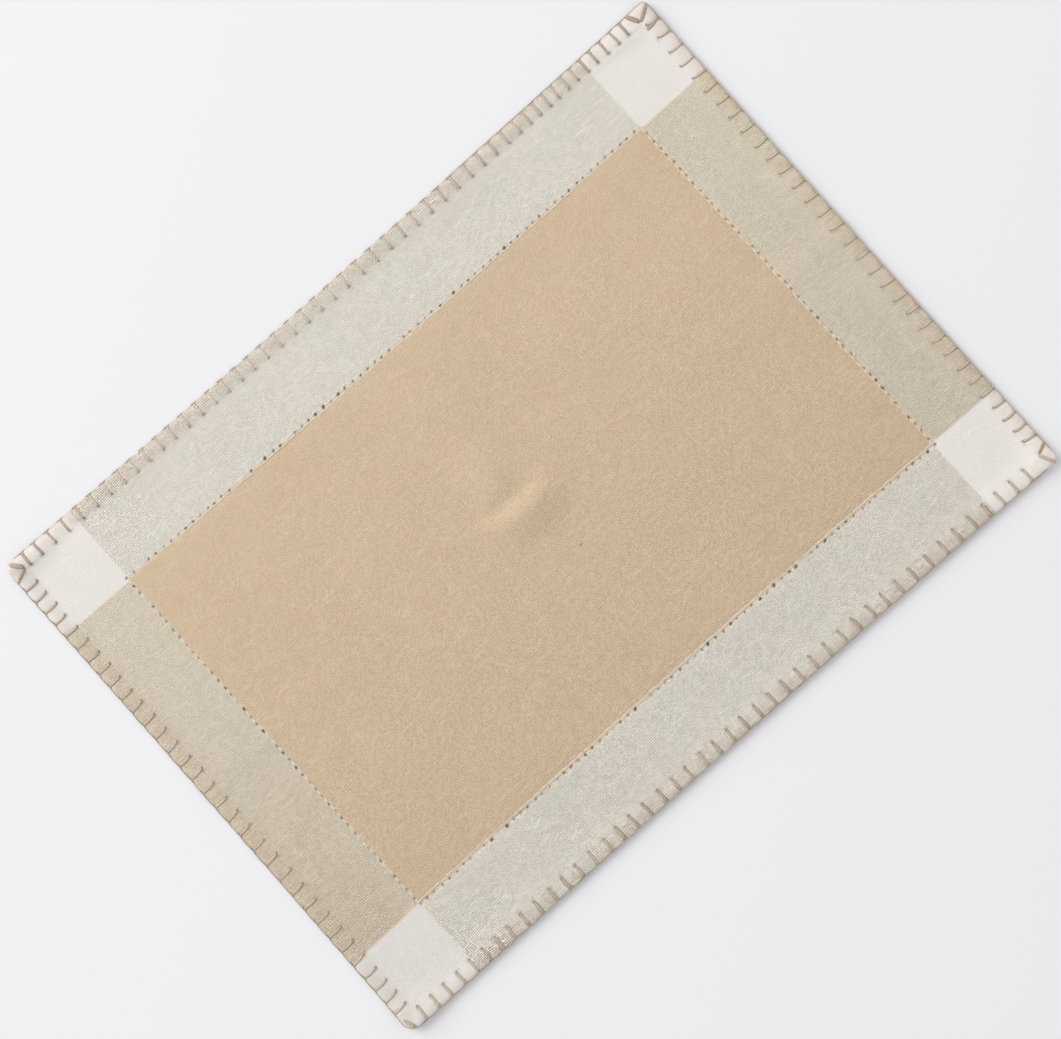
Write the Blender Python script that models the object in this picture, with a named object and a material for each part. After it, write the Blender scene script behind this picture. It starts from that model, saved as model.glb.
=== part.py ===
"""A fabric placemat: one piece of cloth with a stitched hem, lying flat, face up.

The long side runs along X and the short side along Y. The underside rests on z = 0 and the
origin is the middle of it. All sizes are in millimetres, and the finished mesh is scaled to
metres.

Places on the cloth are given twice. "Flat" places (s, t) are on the cloth as it was cut, a
plain rectangle. drawn() turns them into the places (x, y) where the worn cloth really lies,
with its edges a little bowed and its threads a little off square.
"""
import math
import random
from collections import namedtuple

import bmesh
import bpy

METRES = 0.001

# The cloth as it was hemmed, and the drawn-thread rows round its middle panel.
LENGTH = 462.0
WIDTH = 331.0
ROW_S = 184.5
ROW_T = 116.8
CLOTH_THICK = 1.2
ROW_HALF_WIDTH = 1.5
ROW_DEPTH = 0.35

# The face is nowhere quite flat: slow waves run over it. Each is given by how far it takes
# to repeat along s and along t, and its height.
Wave = namedtuple("Wave", "repeat_s repeat_t height")
WAVES = (Wave(171.0, 96.0, 0.09), Wave(-113.0, 61.0, 0.06), Wave(67.0, 143.0, 0.05))

# Lines of threads: where each lies in the flat, and where it really runs at its low end
# (left or front), its middle and its high end (right or back).
Line = namedtuple("Line", "flat low mid high")
LINES_BY_X = (
    Line(-LENGTH / 2, -232.65, -231.05, -230.45),
    Line(-ROW_S, -182.35, -183.85, -184.35),
    Line(ROW_S, 188.55, 185.45, 181.95),
    Line(LENGTH / 2, 232.65, 230.55, 229.15),
)
LINES_BY_Y = (
    Line(-WIDTH / 2, -166.55, -164.95, -166.25),
    Line(-ROW_T, -118.60, -115.65, -116.95),
    Line(ROW_T, 118.10, 116.05, 116.85),
    Line(WIDTH / 2, 166.35, 164.85, 166.55),
)

# The hem, from its folded edge inwards. Each row gives its height between two stitches and
# under a stitch, and how far a stitch draws it in.
Row = namedtuple("Row", "inset puffed pressed drawn_in")
HEM_ROWS = (
    Row(0.0, 1.2, 0.9, 0.6),
    Row(1.3, 2.3, 1.7, 0.5),
    Row(4.6, 2.7, 2.1, 0.2),
    Row(8.2, 2.3, 2.0, 0.0),
    Row(10.4, 1.1, 1.1, 0.0),
)
HEM_UNDER = Row(1.3, 0.0, 0.0, 0.5)
CLOTH_INSET = 13.0

# The sides in the order front, right, back, left. Each runs anticlockwise, seen from above,
# and the pitch of its stitches is read between the places given along it.
Pitch = namedtuple("Pitch", "along step")
Side = namedtuple("Side", "half_run half_across turn pitches")
SIDES = (
    Side(LENGTH / 2, WIDTH / 2, 0,
         (Pitch(-218, 8.9), Pitch(-180, 8.9), Pitch(-150, 10.2), Pitch(-60, 9.7),
          Pitch(60, 10.1), Pitch(140, 10.6), Pitch(213, 9.6))),
    Side(WIDTH / 2, LENGTH / 2, 1,
         (Pitch(-147, 8.2), Pitch(-120, 8.6), Pitch(-100, 10.0), Pitch(0, 10.3),
          Pitch(90, 9.9), Pitch(153, 8.5))),
    Side(LENGTH / 2, WIDTH / 2, 2,
         (Pitch(-210, 7.2), Pitch(-150, 7.2), Pitch(-120, 9.2), Pitch(-30, 10.2),
          Pitch(60, 9.7), Pitch(140, 9.1), Pitch(198, 10.4), Pitch(218, 7.8))),
    Side(WIDTH / 2, LENGTH / 2, 3,
         (Pitch(-153, 7.0), Pitch(-110, 9.2), Pitch(-40, 9.2), Pitch(20, 10.4),
          Pitch(80, 10.6), Pitch(125, 9.2), Pitch(151, 7.0))),
)
PITCH_SPREAD = 0.5
PITCH_SEED = 7
POINTS_A_STITCH = 3

# The corner that ends each side: where it is (1 is right or back, -1 is left or front), its
# radius, and how far its tip stands off the table.
Corner = namedtuple("Corner", "across_x across_y radius lift")
CORNERS = (
    Corner(1, -1, 4.0, 0.5),
    Corner(1, 1, 3.5, 0.6),
    Corner(-1, 1, 6.0, 0.4),
    Corner(-1, -1, 8.0, 1.6),
)
CORNER_STEPS = 4
LEAST_RADIUS = 1.2
CORNER_REACH = 34.0

# The pucker in the middle: a crescent ridge, steeper at the back, with a small mound behind.
RIDGE_X = -1.0
RIDGE_Y = 2.0
RIDGE_BOW = 9.0
RIDGE_HALF_LENGTH = 34.0
RIDGE_BACK = 13.0
RIDGE_FRONT = 20.0
RIDGE_HEIGHT = 3.0
MOUND_X = -3.0
MOUND_Y = 25.0
MOUND_HALF_LENGTH = 15.0
MOUND_HALF_WIDTH = 10.0
MOUND_HEIGHT = 1.2

# The old fold that runs the whole length of the mat, plainer towards its ends.
FOLD_Y = 4.5
FOLD_BACK = 9.0
FOLD_FRONT = 11.0
FOLD_MIDDLE_HEIGHT = 0.2
FOLD_END_HEIGHT = 0.7
FOLD_FADE = 4

# Grid lines of the cloth inside the hem. Both faces are finer where the pucker is.
FACE_STEP = 21.0
UNDER_STEP = 46.0
PUCKER_LINES_S = (-36, 36, 4)
PUCKER_LINES_T = (-24, 40, 4)
LEAST_GAP = 6.0

COLOUR = (0.602, 0.475, 0.333, 1.0)
ROUGHNESS = 0.9


def clear_scene():
    """Remove everything that the scene starts with."""
    for thing in list(bpy.data.objects):
        bpy.data.objects.remove(thing, do_unlink=True)


def bell(r):
    """A smooth bump, 1 in its middle and exactly 0 from r = 1 outwards."""
    return (1 - r * r) ** 2 if abs(r) < 1 else 0.0


def bowed(line, along):
    """Where a line of threads runs at along, from -1 at its low end to 1 at its high end."""
    slope = (line.high - line.low) / 2
    bow = (line.high + line.low) / 2 - line.mid
    return line.mid + slope * along + bow * along * along


def across_lines(lines, flat, along):
    """The real place of a flat place, read between the two lines that it lies between."""
    upper = 1
    while upper < len(lines) - 1 and flat > lines[upper].flat:
        upper += 1
    low, high = lines[upper - 1], lines[upper]
    share = (flat - low.flat) / (high.flat - low.flat)
    return bowed(low, along) * (1 - share) + bowed(high, along) * share


def drawn(s, t):
    """The real (x, y) of the flat place (s, t)."""
    x = across_lines(LINES_BY_X, s, t / (WIDTH / 2))
    y = across_lines(LINES_BY_Y, t, s / (LENGTH / 2))
    return x, y


def lopsided_bell(offset, front, back):
    """A bump that reaches as far as front on its negative side and back on its positive."""
    return bell(offset / (back if offset > 0 else front))


def pucker_height(x, y):
    """How far the pucker in the middle lifts the cloth."""
    r = (x - RIDGE_X) / RIDGE_HALF_LENGTH
    crest = RIDGE_Y + RIDGE_BOW * r * r
    ridge = RIDGE_HEIGHT * bell(r) * lopsided_bell(y - crest, RIDGE_FRONT, RIDGE_BACK)
    mound = MOUND_HEIGHT * bell((x - MOUND_X) / MOUND_HALF_LENGTH)
    return ridge + mound * bell((y - MOUND_Y) / MOUND_HALF_WIDTH)


def fold_height(x, y):
    """How far the old fold lifts the cloth."""
    share = min(abs(x) / ROW_S, 1.0) ** FOLD_FADE
    height = FOLD_MIDDLE_HEIGHT * (1 - share) + FOLD_END_HEIGHT * share
    return height * lopsided_bell(y - FOLD_Y, FOLD_FRONT, FOLD_BACK)


def corner_height(s, t):
    """How far a corner stands off the table at a flat place."""
    height = 0.0
    for corner in CORNERS:
        gap = math.hypot(s - corner.across_x * LENGTH / 2, t - corner.across_y * WIDTH / 2)
        height += corner.lift * bell(gap / CORNER_REACH)
    return height


def lift(s, t):
    """How far the whole sheet is off the table at a flat place."""
    x, y = drawn(s, t)
    return pucker_height(x, y) + fold_height(x, y) + corner_height(s, t)


def wave_height(s, t):
    """How far the slow waves raise the face at a flat place."""
    turns = ((s / wave.repeat_s + t / wave.repeat_t, wave.height) for wave in WAVES)
    return sum(height * math.sin(2 * math.pi * turn) for turn, height in turns)


def face_height(s, t):
    """The face of the cloth inside the hem, sunk along the middle of each drawn-thread row."""
    on_side_row = abs(abs(s) - ROW_S) < ROW_HALF_WIDTH / 2 and abs(t) <= ROW_T
    on_end_row = abs(abs(t) - ROW_T) < ROW_HALF_WIDTH / 2 and abs(s) <= ROW_S
    sunk = ROW_DEPTH if on_side_row or on_end_row else 0.0
    return CLOTH_THICK + wave_height(s, t) - sunk


def pitch_at(pitches, along):
    """The pitch of the stitches at a place along a side."""
    for low, high in zip(pitches, pitches[1:]):
        if along <= high.along:
            share = (along - low.along) / (high.along - low.along)
            return low.step + share * (high.step - low.step)
    return pitches[-1].step


def stitch_places(side, chance):
    """Places of the stitches along a side, as uneven as hand sewing leaves them."""
    first, last = side.pitches[0].along, side.pitches[-1].along
    places = [first]
    while places[-1] < last - PITCH_SPREAD:
        step = pitch_at(side.pitches, places[-1]) + chance.uniform(-PITCH_SPREAD, PITCH_SPREAD)
        places.append(places[-1] + step)
    stretch = (last - first) / (places[-1] - first)
    return [first + (place - first) * stretch for place in places]


def turned(along, across, turn):
    """A point of a side, turned by quarter turns to where that side is."""
    for _ in range(turn):
        along, across = -across, along
    return along, across


def side_points(side, places, row):
    """Flat points and heights of one hem row along a side, from its first stitch to its last."""
    points = []
    for i in range((len(places) - 1) * POINTS_A_STITCH + 1):
        stitch, step = divmod(i, POINTS_A_STITCH)
        start, end = places[stitch], places[min(stitch + 1, len(places) - 1)]
        along = start + (end - start) * step / POINTS_A_STITCH
        inset = row.inset + (0.0 if step else row.drawn_in)
        s, t = turned(along, inset - side.half_across, side.turn)
        points.append((s, t, row.puffed if step else row.pressed))
    return points


def corner_points(side, corner, row):
    """Flat points and heights of one hem row round the corner that ends a side."""
    radius = max(corner.radius - row.inset, LEAST_RADIUS)
    centre_along = side.half_run - row.inset - radius
    centre_across = row.inset + radius - side.half_across
    points = []
    for step in range(CORNER_STEPS + 1):
        angle = math.pi / 2 * step / CORNER_STEPS
        along = centre_along + radius * math.sin(angle)
        across = centre_across - radius * math.cos(angle)
        s, t = turned(along, across, side.turn)
        points.append((s, t, row.puffed))
    return points


def hem_row(row, stitches):
    """All points of one hem row, anticlockwise from the front side's first stitch."""
    points = []
    for side, places, corner in zip(SIDES, stitches, CORNERS):
        points += side_points(side, places, row) + corner_points(side, corner, row)
    return points


def draw_loop(mesh, points):
    """Make a closed loop of edges through the points, and return them."""
    verts = [mesh.verts.new(point) for point in points]
    return [mesh.edges.new(pair) for pair in zip(verts, verts[1:] + verts[:1])]


def grid_lines(half, step, fine):
    """Grid lines from -half to half: fine ones in the middle, and some of about step apart."""
    first, last, fine_step = fine
    low_count = round((first + half) / step)
    high_count = round((half - last) / step)
    low = [-half + (first + half) * i / low_count for i in range(low_count)]
    high = [half - (half - last) * i / high_count for i in range(high_count)]
    return low + list(range(first, last + 1, fine_step)) + high[::-1]


def with_row(lines, row):
    """The grid lines with five more at a drawn-thread row on each side, and none too near."""
    wanted = [side * row + i * ROW_HALF_WIDTH for side in (-1, 1) for i in range(-2, 3)]
    clear = [x for x in lines if all(abs(x - y) > LEAST_GAP for y in wanted)]
    return sorted(clear + wanted)


def draw_grid(mesh, columns, rows, height):
    """Make a grid of faces on the lines given, and return the edges round it."""
    made = bmesh.ops.create_grid(mesh, x_segments=len(columns) - 1, y_segments=len(rows) - 1,
                                 size=1.0)
    for i, vert in enumerate(made["verts"]):
        s, t = columns[i % len(columns)], rows[i // len(columns)]
        vert.co = (s, t, height(s, t))
    around = (edge for vert in made["verts"] for edge in vert.link_edges if edge.is_boundary)
    return list(dict.fromkeys(around))


def face_side(mesh, stitches):
    """The face: the top of the hem, and the cloth inside it. Returns the hem's outer edge."""
    loops = [draw_loop(mesh, hem_row(row, stitches)) for row in HEM_ROWS]
    for loop, next_loop in zip(loops, loops[1:]):
        bmesh.ops.bridge_loops(mesh, edges=loop + next_loop)
    half_s, half_t = LENGTH / 2 - CLOTH_INSET, WIDTH / 2 - CLOTH_INSET
    columns = with_row(grid_lines(half_s, FACE_STEP, PUCKER_LINES_S), ROW_S)
    rows = with_row(grid_lines(half_t, FACE_STEP, PUCKER_LINES_T), ROW_T)
    border = draw_grid(mesh, columns, rows, face_height)
    bmesh.ops.triangle_fill(mesh, use_beauty=True, edges=loops[-1] + border)
    return loops[0]


def under_side(mesh, stitches, outer_edge):
    """The underside, from the hem's outer edge inwards."""
    loop = draw_loop(mesh, hem_row(HEM_UNDER, stitches))
    bmesh.ops.bridge_loops(mesh, edges=outer_edge + loop)
    half_s, half_t = LENGTH / 2 - CLOTH_INSET, WIDTH / 2 - CLOTH_INSET
    columns = grid_lines(half_s, UNDER_STEP, PUCKER_LINES_S)
    rows = grid_lines(half_t, UNDER_STEP, PUCKER_LINES_T)
    border = draw_grid(mesh, columns, rows, lambda s, t: 0.0)
    bmesh.ops.triangle_fill(mesh, use_beauty=True, edges=loop + border)


def lay_down(mesh):
    """Move the flat cloth to its real place: its bowed edges, pucker, fold and corners."""
    for vert in mesh.verts:
        s, t, height = vert.co
        x, y = drawn(s, t)
        vert.co = (x, y, height + lift(s, t))
    bmesh.ops.scale(mesh, vec=(METRES, METRES, METRES), verts=mesh.verts)


def cloth_material():
    """Plain woven cloth."""
    material = bpy.data.materials.new("cloth")
    material.use_nodes = True
    shader = material.node_tree.nodes["Principled BSDF"]
    shader.inputs["Base Color"].default_value = COLOUR
    shader.inputs["Roughness"].default_value = ROUGHNESS
    shader.inputs["Metallic"].default_value = 0.0
    return material


def build_mat():
    """The whole mat, as one closed sheet."""
    chance = random.Random(PITCH_SEED)
    stitches = [stitch_places(side, chance) for side in SIDES]
    mesh = bmesh.new()
    outer_edge = face_side(mesh, stitches)
    under_side(mesh, stitches, outer_edge)
    lay_down(mesh)
    bmesh.ops.recalc_face_normals(mesh, faces=mesh.faces)
    data = bpy.data.meshes.new("mat")
    mesh.to_mesh(data)
    mesh.free()
    data.shade_smooth()
    mat = bpy.data.objects.new("mat", data)
    bpy.context.scene.collection.objects.link(mat)
    data.materials.append(cloth_material())
    return mat


clear_scene()
build_mat()
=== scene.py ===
"""The looks of a fabric placemat: colour-woven cloth with drawn-thread rows and a stitched hem.

The mat lies face up with its long side along X. All sizes are in millimetres, and each mesh is
scaled to metres as it is made.

Places on the cloth are given twice. "Flat" places (s, t) are on the hemmed cloth as a plain
rectangle, and Lie.place() turns them into the places (x, y) where the worn cloth really lies.
The cloth's UV map, "threads", holds the flat place on the cloth before its hem was folded.
"""
from __future__ import annotations

import logging
import math
import random
from dataclasses import dataclass, field
from enum import Enum
from typing import Callable, Iterable, Optional, Sequence, Union

import bmesh
import bpy
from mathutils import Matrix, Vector


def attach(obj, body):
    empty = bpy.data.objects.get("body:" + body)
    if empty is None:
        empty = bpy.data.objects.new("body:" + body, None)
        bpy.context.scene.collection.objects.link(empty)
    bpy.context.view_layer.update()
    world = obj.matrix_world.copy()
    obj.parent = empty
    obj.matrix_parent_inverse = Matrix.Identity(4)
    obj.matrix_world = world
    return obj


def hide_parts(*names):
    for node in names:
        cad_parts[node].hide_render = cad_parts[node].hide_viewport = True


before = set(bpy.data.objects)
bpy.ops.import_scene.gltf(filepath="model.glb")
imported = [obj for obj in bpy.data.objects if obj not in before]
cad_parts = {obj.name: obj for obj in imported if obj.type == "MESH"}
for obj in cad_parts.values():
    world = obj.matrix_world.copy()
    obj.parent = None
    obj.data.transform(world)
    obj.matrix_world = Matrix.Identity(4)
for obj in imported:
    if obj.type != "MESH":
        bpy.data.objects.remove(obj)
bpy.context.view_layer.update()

METRES = 0.001
UP = Vector((0.0, 0.0, 1.0))
Colour = tuple[float, float, float, float]
log = logging.getLogger("placemat")


# ---- Shader maths ----


def worked_out(operation: str, reflected: bool = False) -> Callable[..., Number]:
    """Make a method of Number that adds a Math node.

    Args:
        operation: What the node works out.
        reflected: Whether the other number comes first.

    Returns:
        The method. It takes the other number, where the operation has two.
    """

    def method(self: Number, *other: Amount) -> Number:
        """The result of the Math node."""
        return self.graph.maths(operation, *((*other, self) if reflected else (self, *other)))

    return method


class Number:
    """A number that varies over a surface. Arithmetic on it adds Math nodes."""

    __add__, __radd__ = worked_out("ADD"), worked_out("ADD", reflected=True)
    __sub__, __rsub__ = worked_out("SUBTRACT"), worked_out("SUBTRACT", reflected=True)
    __mul__, __rmul__ = worked_out("MULTIPLY"), worked_out("MULTIPLY", reflected=True)
    __truediv__, __rtruediv__ = worked_out("DIVIDE"), worked_out("DIVIDE", reflected=True)
    __abs__ = worked_out("ABSOLUTE")
    floor, fraction, sine = worked_out("FLOOR"), worked_out("FRACT"), worked_out("SINE")
    at_most, at_least = worked_out("MINIMUM"), worked_out("MAXIMUM")

    def __init__(self, graph: Graph, socket: bpy.types.NodeSocket) -> None:
        """Wrap an output socket of a graph's node."""
        self.graph = graph
        self.socket = socket

    def rise(self, low: float, high: float) -> Number:
        """A smooth step.

        Args:
            low: Where it starts from 0.
            high: Where it reaches 1. Below low, it falls instead of rising.

        Returns:
            The step's value, from 0 to 1.
        """
        start, end = (low, high) if low < high else (high, low)
        to_min, to_max = (0.0, 1.0) if low < high else (1.0, 0.0)
        node = self.graph.node(
            "ShaderNodeMapRange",
            {"interpolation_type": "SMOOTHSTEP"},
            {"Value": self, "From Min": start, "From Max": end, "To Min": to_min, "To Max": to_max},
        )
        return Number(self.graph, node.outputs["Result"])


class Tint:
    """A colour that varies over a surface."""

    def __init__(self, graph: Graph, socket: bpy.types.NodeSocket) -> None:
        """Wrap a colour output of a graph's node."""
        self.graph = graph
        self.socket = socket

    def blended(self, other: Paint, share: Amount) -> Tint:
        """Another colour mixed in, by a share from 0 to 1."""
        return self.graph.mixed(self, other, share)

    def scaled(self, by: Amount) -> Tint:
        """Make the colour lighter or darker.

        Args:
            by: The factor.

        Returns:
            The new colour.
        """
        node = self.graph.node(
            "ShaderNodeVectorMath", {"operation": "SCALE"}, {"Vector": self, "Scale": by}
        )
        return Tint(self.graph, node.outputs["Vector"])

    def tinted(self, by: Sequence[float]) -> Tint:
        """The colour with its red, green and blue each scaled by a fixed factor."""
        node = self.graph.node("ShaderNodeVectorMath", {"operation": "MULTIPLY"}, {0: self, 1: by})
        return Tint(self.graph, node.outputs["Vector"])

    def plus(self, amount: Number) -> Tint:
        """The colour with the same amount added to its red, green and blue."""
        node = self.graph.node("ShaderNodeVectorMath", {"operation": "ADD"}, {0: self, 1: amount})
        return Tint(self.graph, node.outputs["Vector"])


Amount = Union[Number, float]
Paint = Union[Tint, Colour]
Feed = Union[Number, Tint, float, Sequence[float]]


class Graph:
    """The node tree of one material."""

    def __init__(self, name: str) -> None:
        """Make an empty material of that name.

        Args:
            name: The material's name.
        """
        self.material = bpy.data.materials.new(name)
        self.material.use_nodes = True
        self.tree = self.material.node_tree
        self.tree.nodes.clear()

    def node(
        self,
        kind: str,
        settings: Optional[dict[str, object]] = None,
        inputs: Optional[dict[Union[str, int], Feed]] = None,
    ) -> bpy.types.Node:
        """Add a node.

        Args:
            kind: The node's type.
            settings: Its own properties, set first.
            inputs: Values or links for its sockets, by name or place.

        Returns:
            The new node.
        """
        made = self.tree.nodes.new(kind)
        for name, value in (settings or {}).items():
            setattr(made, name, value)
        for socket, value in (inputs or {}).items():
            self.feed(made.inputs[socket], value)
        return made

    def feed(self, socket: bpy.types.NodeSocket, value: Feed) -> None:
        """Link a varying value to a socket, or set a plain one on it.

        Args:
            socket: The socket.
            value: What it gets.
        """
        if isinstance(value, (Number, Tint)):
            self.tree.links.new(value.socket, socket)
        else:
            socket.default_value = value

    def maths(self, operation: str, *values: Amount) -> Number:
        """The result of a Math node, which takes its numbers in order."""
        node = self.node("ShaderNodeMath", {"operation": operation}, dict(enumerate(values)))
        return Number(self, node.outputs["Value"])

    def mixed(self, first: Paint, second: Paint, share: Amount) -> Tint:
        """Mix two colours.

        Args:
            first: The colour at share 0.
            second: The colour at share 1.
            share: Where between the two.

        Returns:
            The mixed colour.
        """
        factor, colour_a, colour_b, result = 0, 6, 7, 2
        node = self.node(
            "ShaderNodeMix",
            {"data_type": "RGBA"},
            {factor: share, colour_a: first, colour_b: second},
        )
        return Tint(self, node.outputs[result])

    def uv(self, name: str) -> tuple[Number, Number]:
        """Read a UV map.

        Args:
            name: The map's name.

        Returns:
            Its two coordinates.
        """
        source = self.node("ShaderNodeUVMap", {"uv_map": name})
        parts = self.node("ShaderNodeSeparateXYZ")
        self.tree.links.new(source.outputs["UV"], parts.inputs["Vector"])
        return Number(self, parts.outputs["X"]), Number(self, parts.outputs["Y"])

    def attribute(self, name: str) -> Number:
        """A number that each vertex of the piece carries."""
        node = self.node("ShaderNodeAttribute", {"attribute_name": name})
        return Number(self, node.outputs["Fac"])

    def point(self, x: Amount, y: Amount) -> Tint:
        """A flat vector of two numbers."""
        node = self.node("ShaderNodeCombineXYZ", None, {"X": x, "Y": y})
        return Tint(self, node.outputs["Vector"])

    def noise(self, x: Amount, y: Amount, detail: float = 0.0) -> Number:
        """Smooth noise that changes about once a unit.

        Args:
            x: The place across.
            y: The place along.
            detail: How many finer octaves are added.

        Returns:
            Noise around 0.5.
        """
        node = self.node(
            "ShaderNodeTexNoise",
            {"noise_dimensions": "2D"},
            {"Vector": self.point(x, y), "Scale": 1.0, "Detail": detail, "Roughness": 0.5},
        )
        return Number(self, node.outputs["Fac"])

    def speckle(self, x: Amount, y: Amount) -> Number:
        """Noise that is unlike from one pair of whole numbers to the next.

        Args:
            x: The first number.
            y: The second number.

        Returns:
            The noise, from 0 to 1.
        """
        node = self.node(
            "ShaderNodeTexWhiteNoise", {"noise_dimensions": "2D"}, {"Vector": self.point(x, y)}
        )
        return Number(self, node.outputs["Value"])

    def finish(
        self,
        colour: Feed,
        roughness: Feed,
        height: Optional[Number] = None,
        depth: float = 0.0,
        sheen: float = 0.0,
    ) -> bpy.types.Material:
        """Close the tree with its shader.

        Args:
            colour: The base colour.
            roughness: The roughness.
            height: Relief from 0 to 1, if it has any.
            depth: How deep the relief is.
            sheen: The weight of a soft cloth sheen.

        Returns:
            The finished material.
        """
        shader = self.node(
            "ShaderNodeBsdfPrincipled",
            None,
            {"Base Color": colour, "Roughness": roughness, "Sheen Weight": sheen},
        )
        if height is not None:
            bump = self.node(
                "ShaderNodeBump", None, {"Strength": 1.0, "Distance": depth * METRES, "Height": height}
            )
            self.tree.links.new(bump.outputs["Normal"], shader.inputs["Normal"])
        output = self.node("ShaderNodeOutputMaterial")
        self.tree.links.new(shader.outputs["BSDF"], output.inputs["Surface"])
        return self.material


# ---- How the cloth lies ----


def bell(r: float) -> float:
    """A smooth bump, 1 in its middle and exactly 0 from r = 1 outwards."""
    return (1 - r * r) ** 2 if abs(r) < 1 else 0.0


def lopsided_bell(offset: float, front: float, back: float) -> float:
    """A bump that reaches as far as front on its negative side and back on its positive."""
    return bell(offset / (back if offset > 0 else front))


@dataclass(frozen=True)
class ThreadLine:
    """A line of threads: its flat place, and where it really runs at three places along it."""

    flat: float
    low: float
    mid: float
    high: float

    def at(self, along: float) -> float:
        """Where the line runs.

        Args:
            along: The place along it, from -1 at its low end to 1 at its high end.

        Returns:
            The real place across it.
        """
        slope = (self.high - self.low) / 2
        bow = (self.high + self.low) / 2 - self.mid
        return self.mid + slope * along + bow * along * along


@dataclass(frozen=True)
class Wave:
    """A slow wave in the face: how far it takes to repeat along s and t, and its height."""

    repeat_s: float
    repeat_t: float
    height: float


@dataclass(frozen=True)
class Swell:
    """A long soft swell: its middle, its reach along and across, its turn and its height."""

    x: float
    y: float
    half_length: float
    half_width: float
    turn: float
    height: float

    def at(self, x: float, y: float) -> float:
        """How far the swell lifts the cloth.

        Args:
            x: The real place along the mat.
            y: The real place across the mat.

        Returns:
            Its height.
        """
        turn = math.radians(self.turn)
        along = (x - self.x) * math.cos(turn) + (y - self.y) * math.sin(turn)
        across = (y - self.y) * math.cos(turn) - (x - self.x) * math.sin(turn)
        return self.height * bell(along / self.half_length) * bell(across / self.half_width)


class Edge(Enum):
    """The four edges, each run anticlockwise. The value is its quarter turns from the front."""

    FRONT = 0
    RIGHT = 1
    BACK = 2
    LEFT = 3

    def turned(self, along: float, across: float) -> tuple[float, float]:
        """Turn a point of the front edge to where this edge is.

        Args:
            along: Where it is along the edge.
            across: Where it is across the mat, negative towards the edge.

        Returns:
            The flat place (s, t).
        """
        for _ in range(self.value):
            along, across = -across, along
        return along, across


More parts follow.
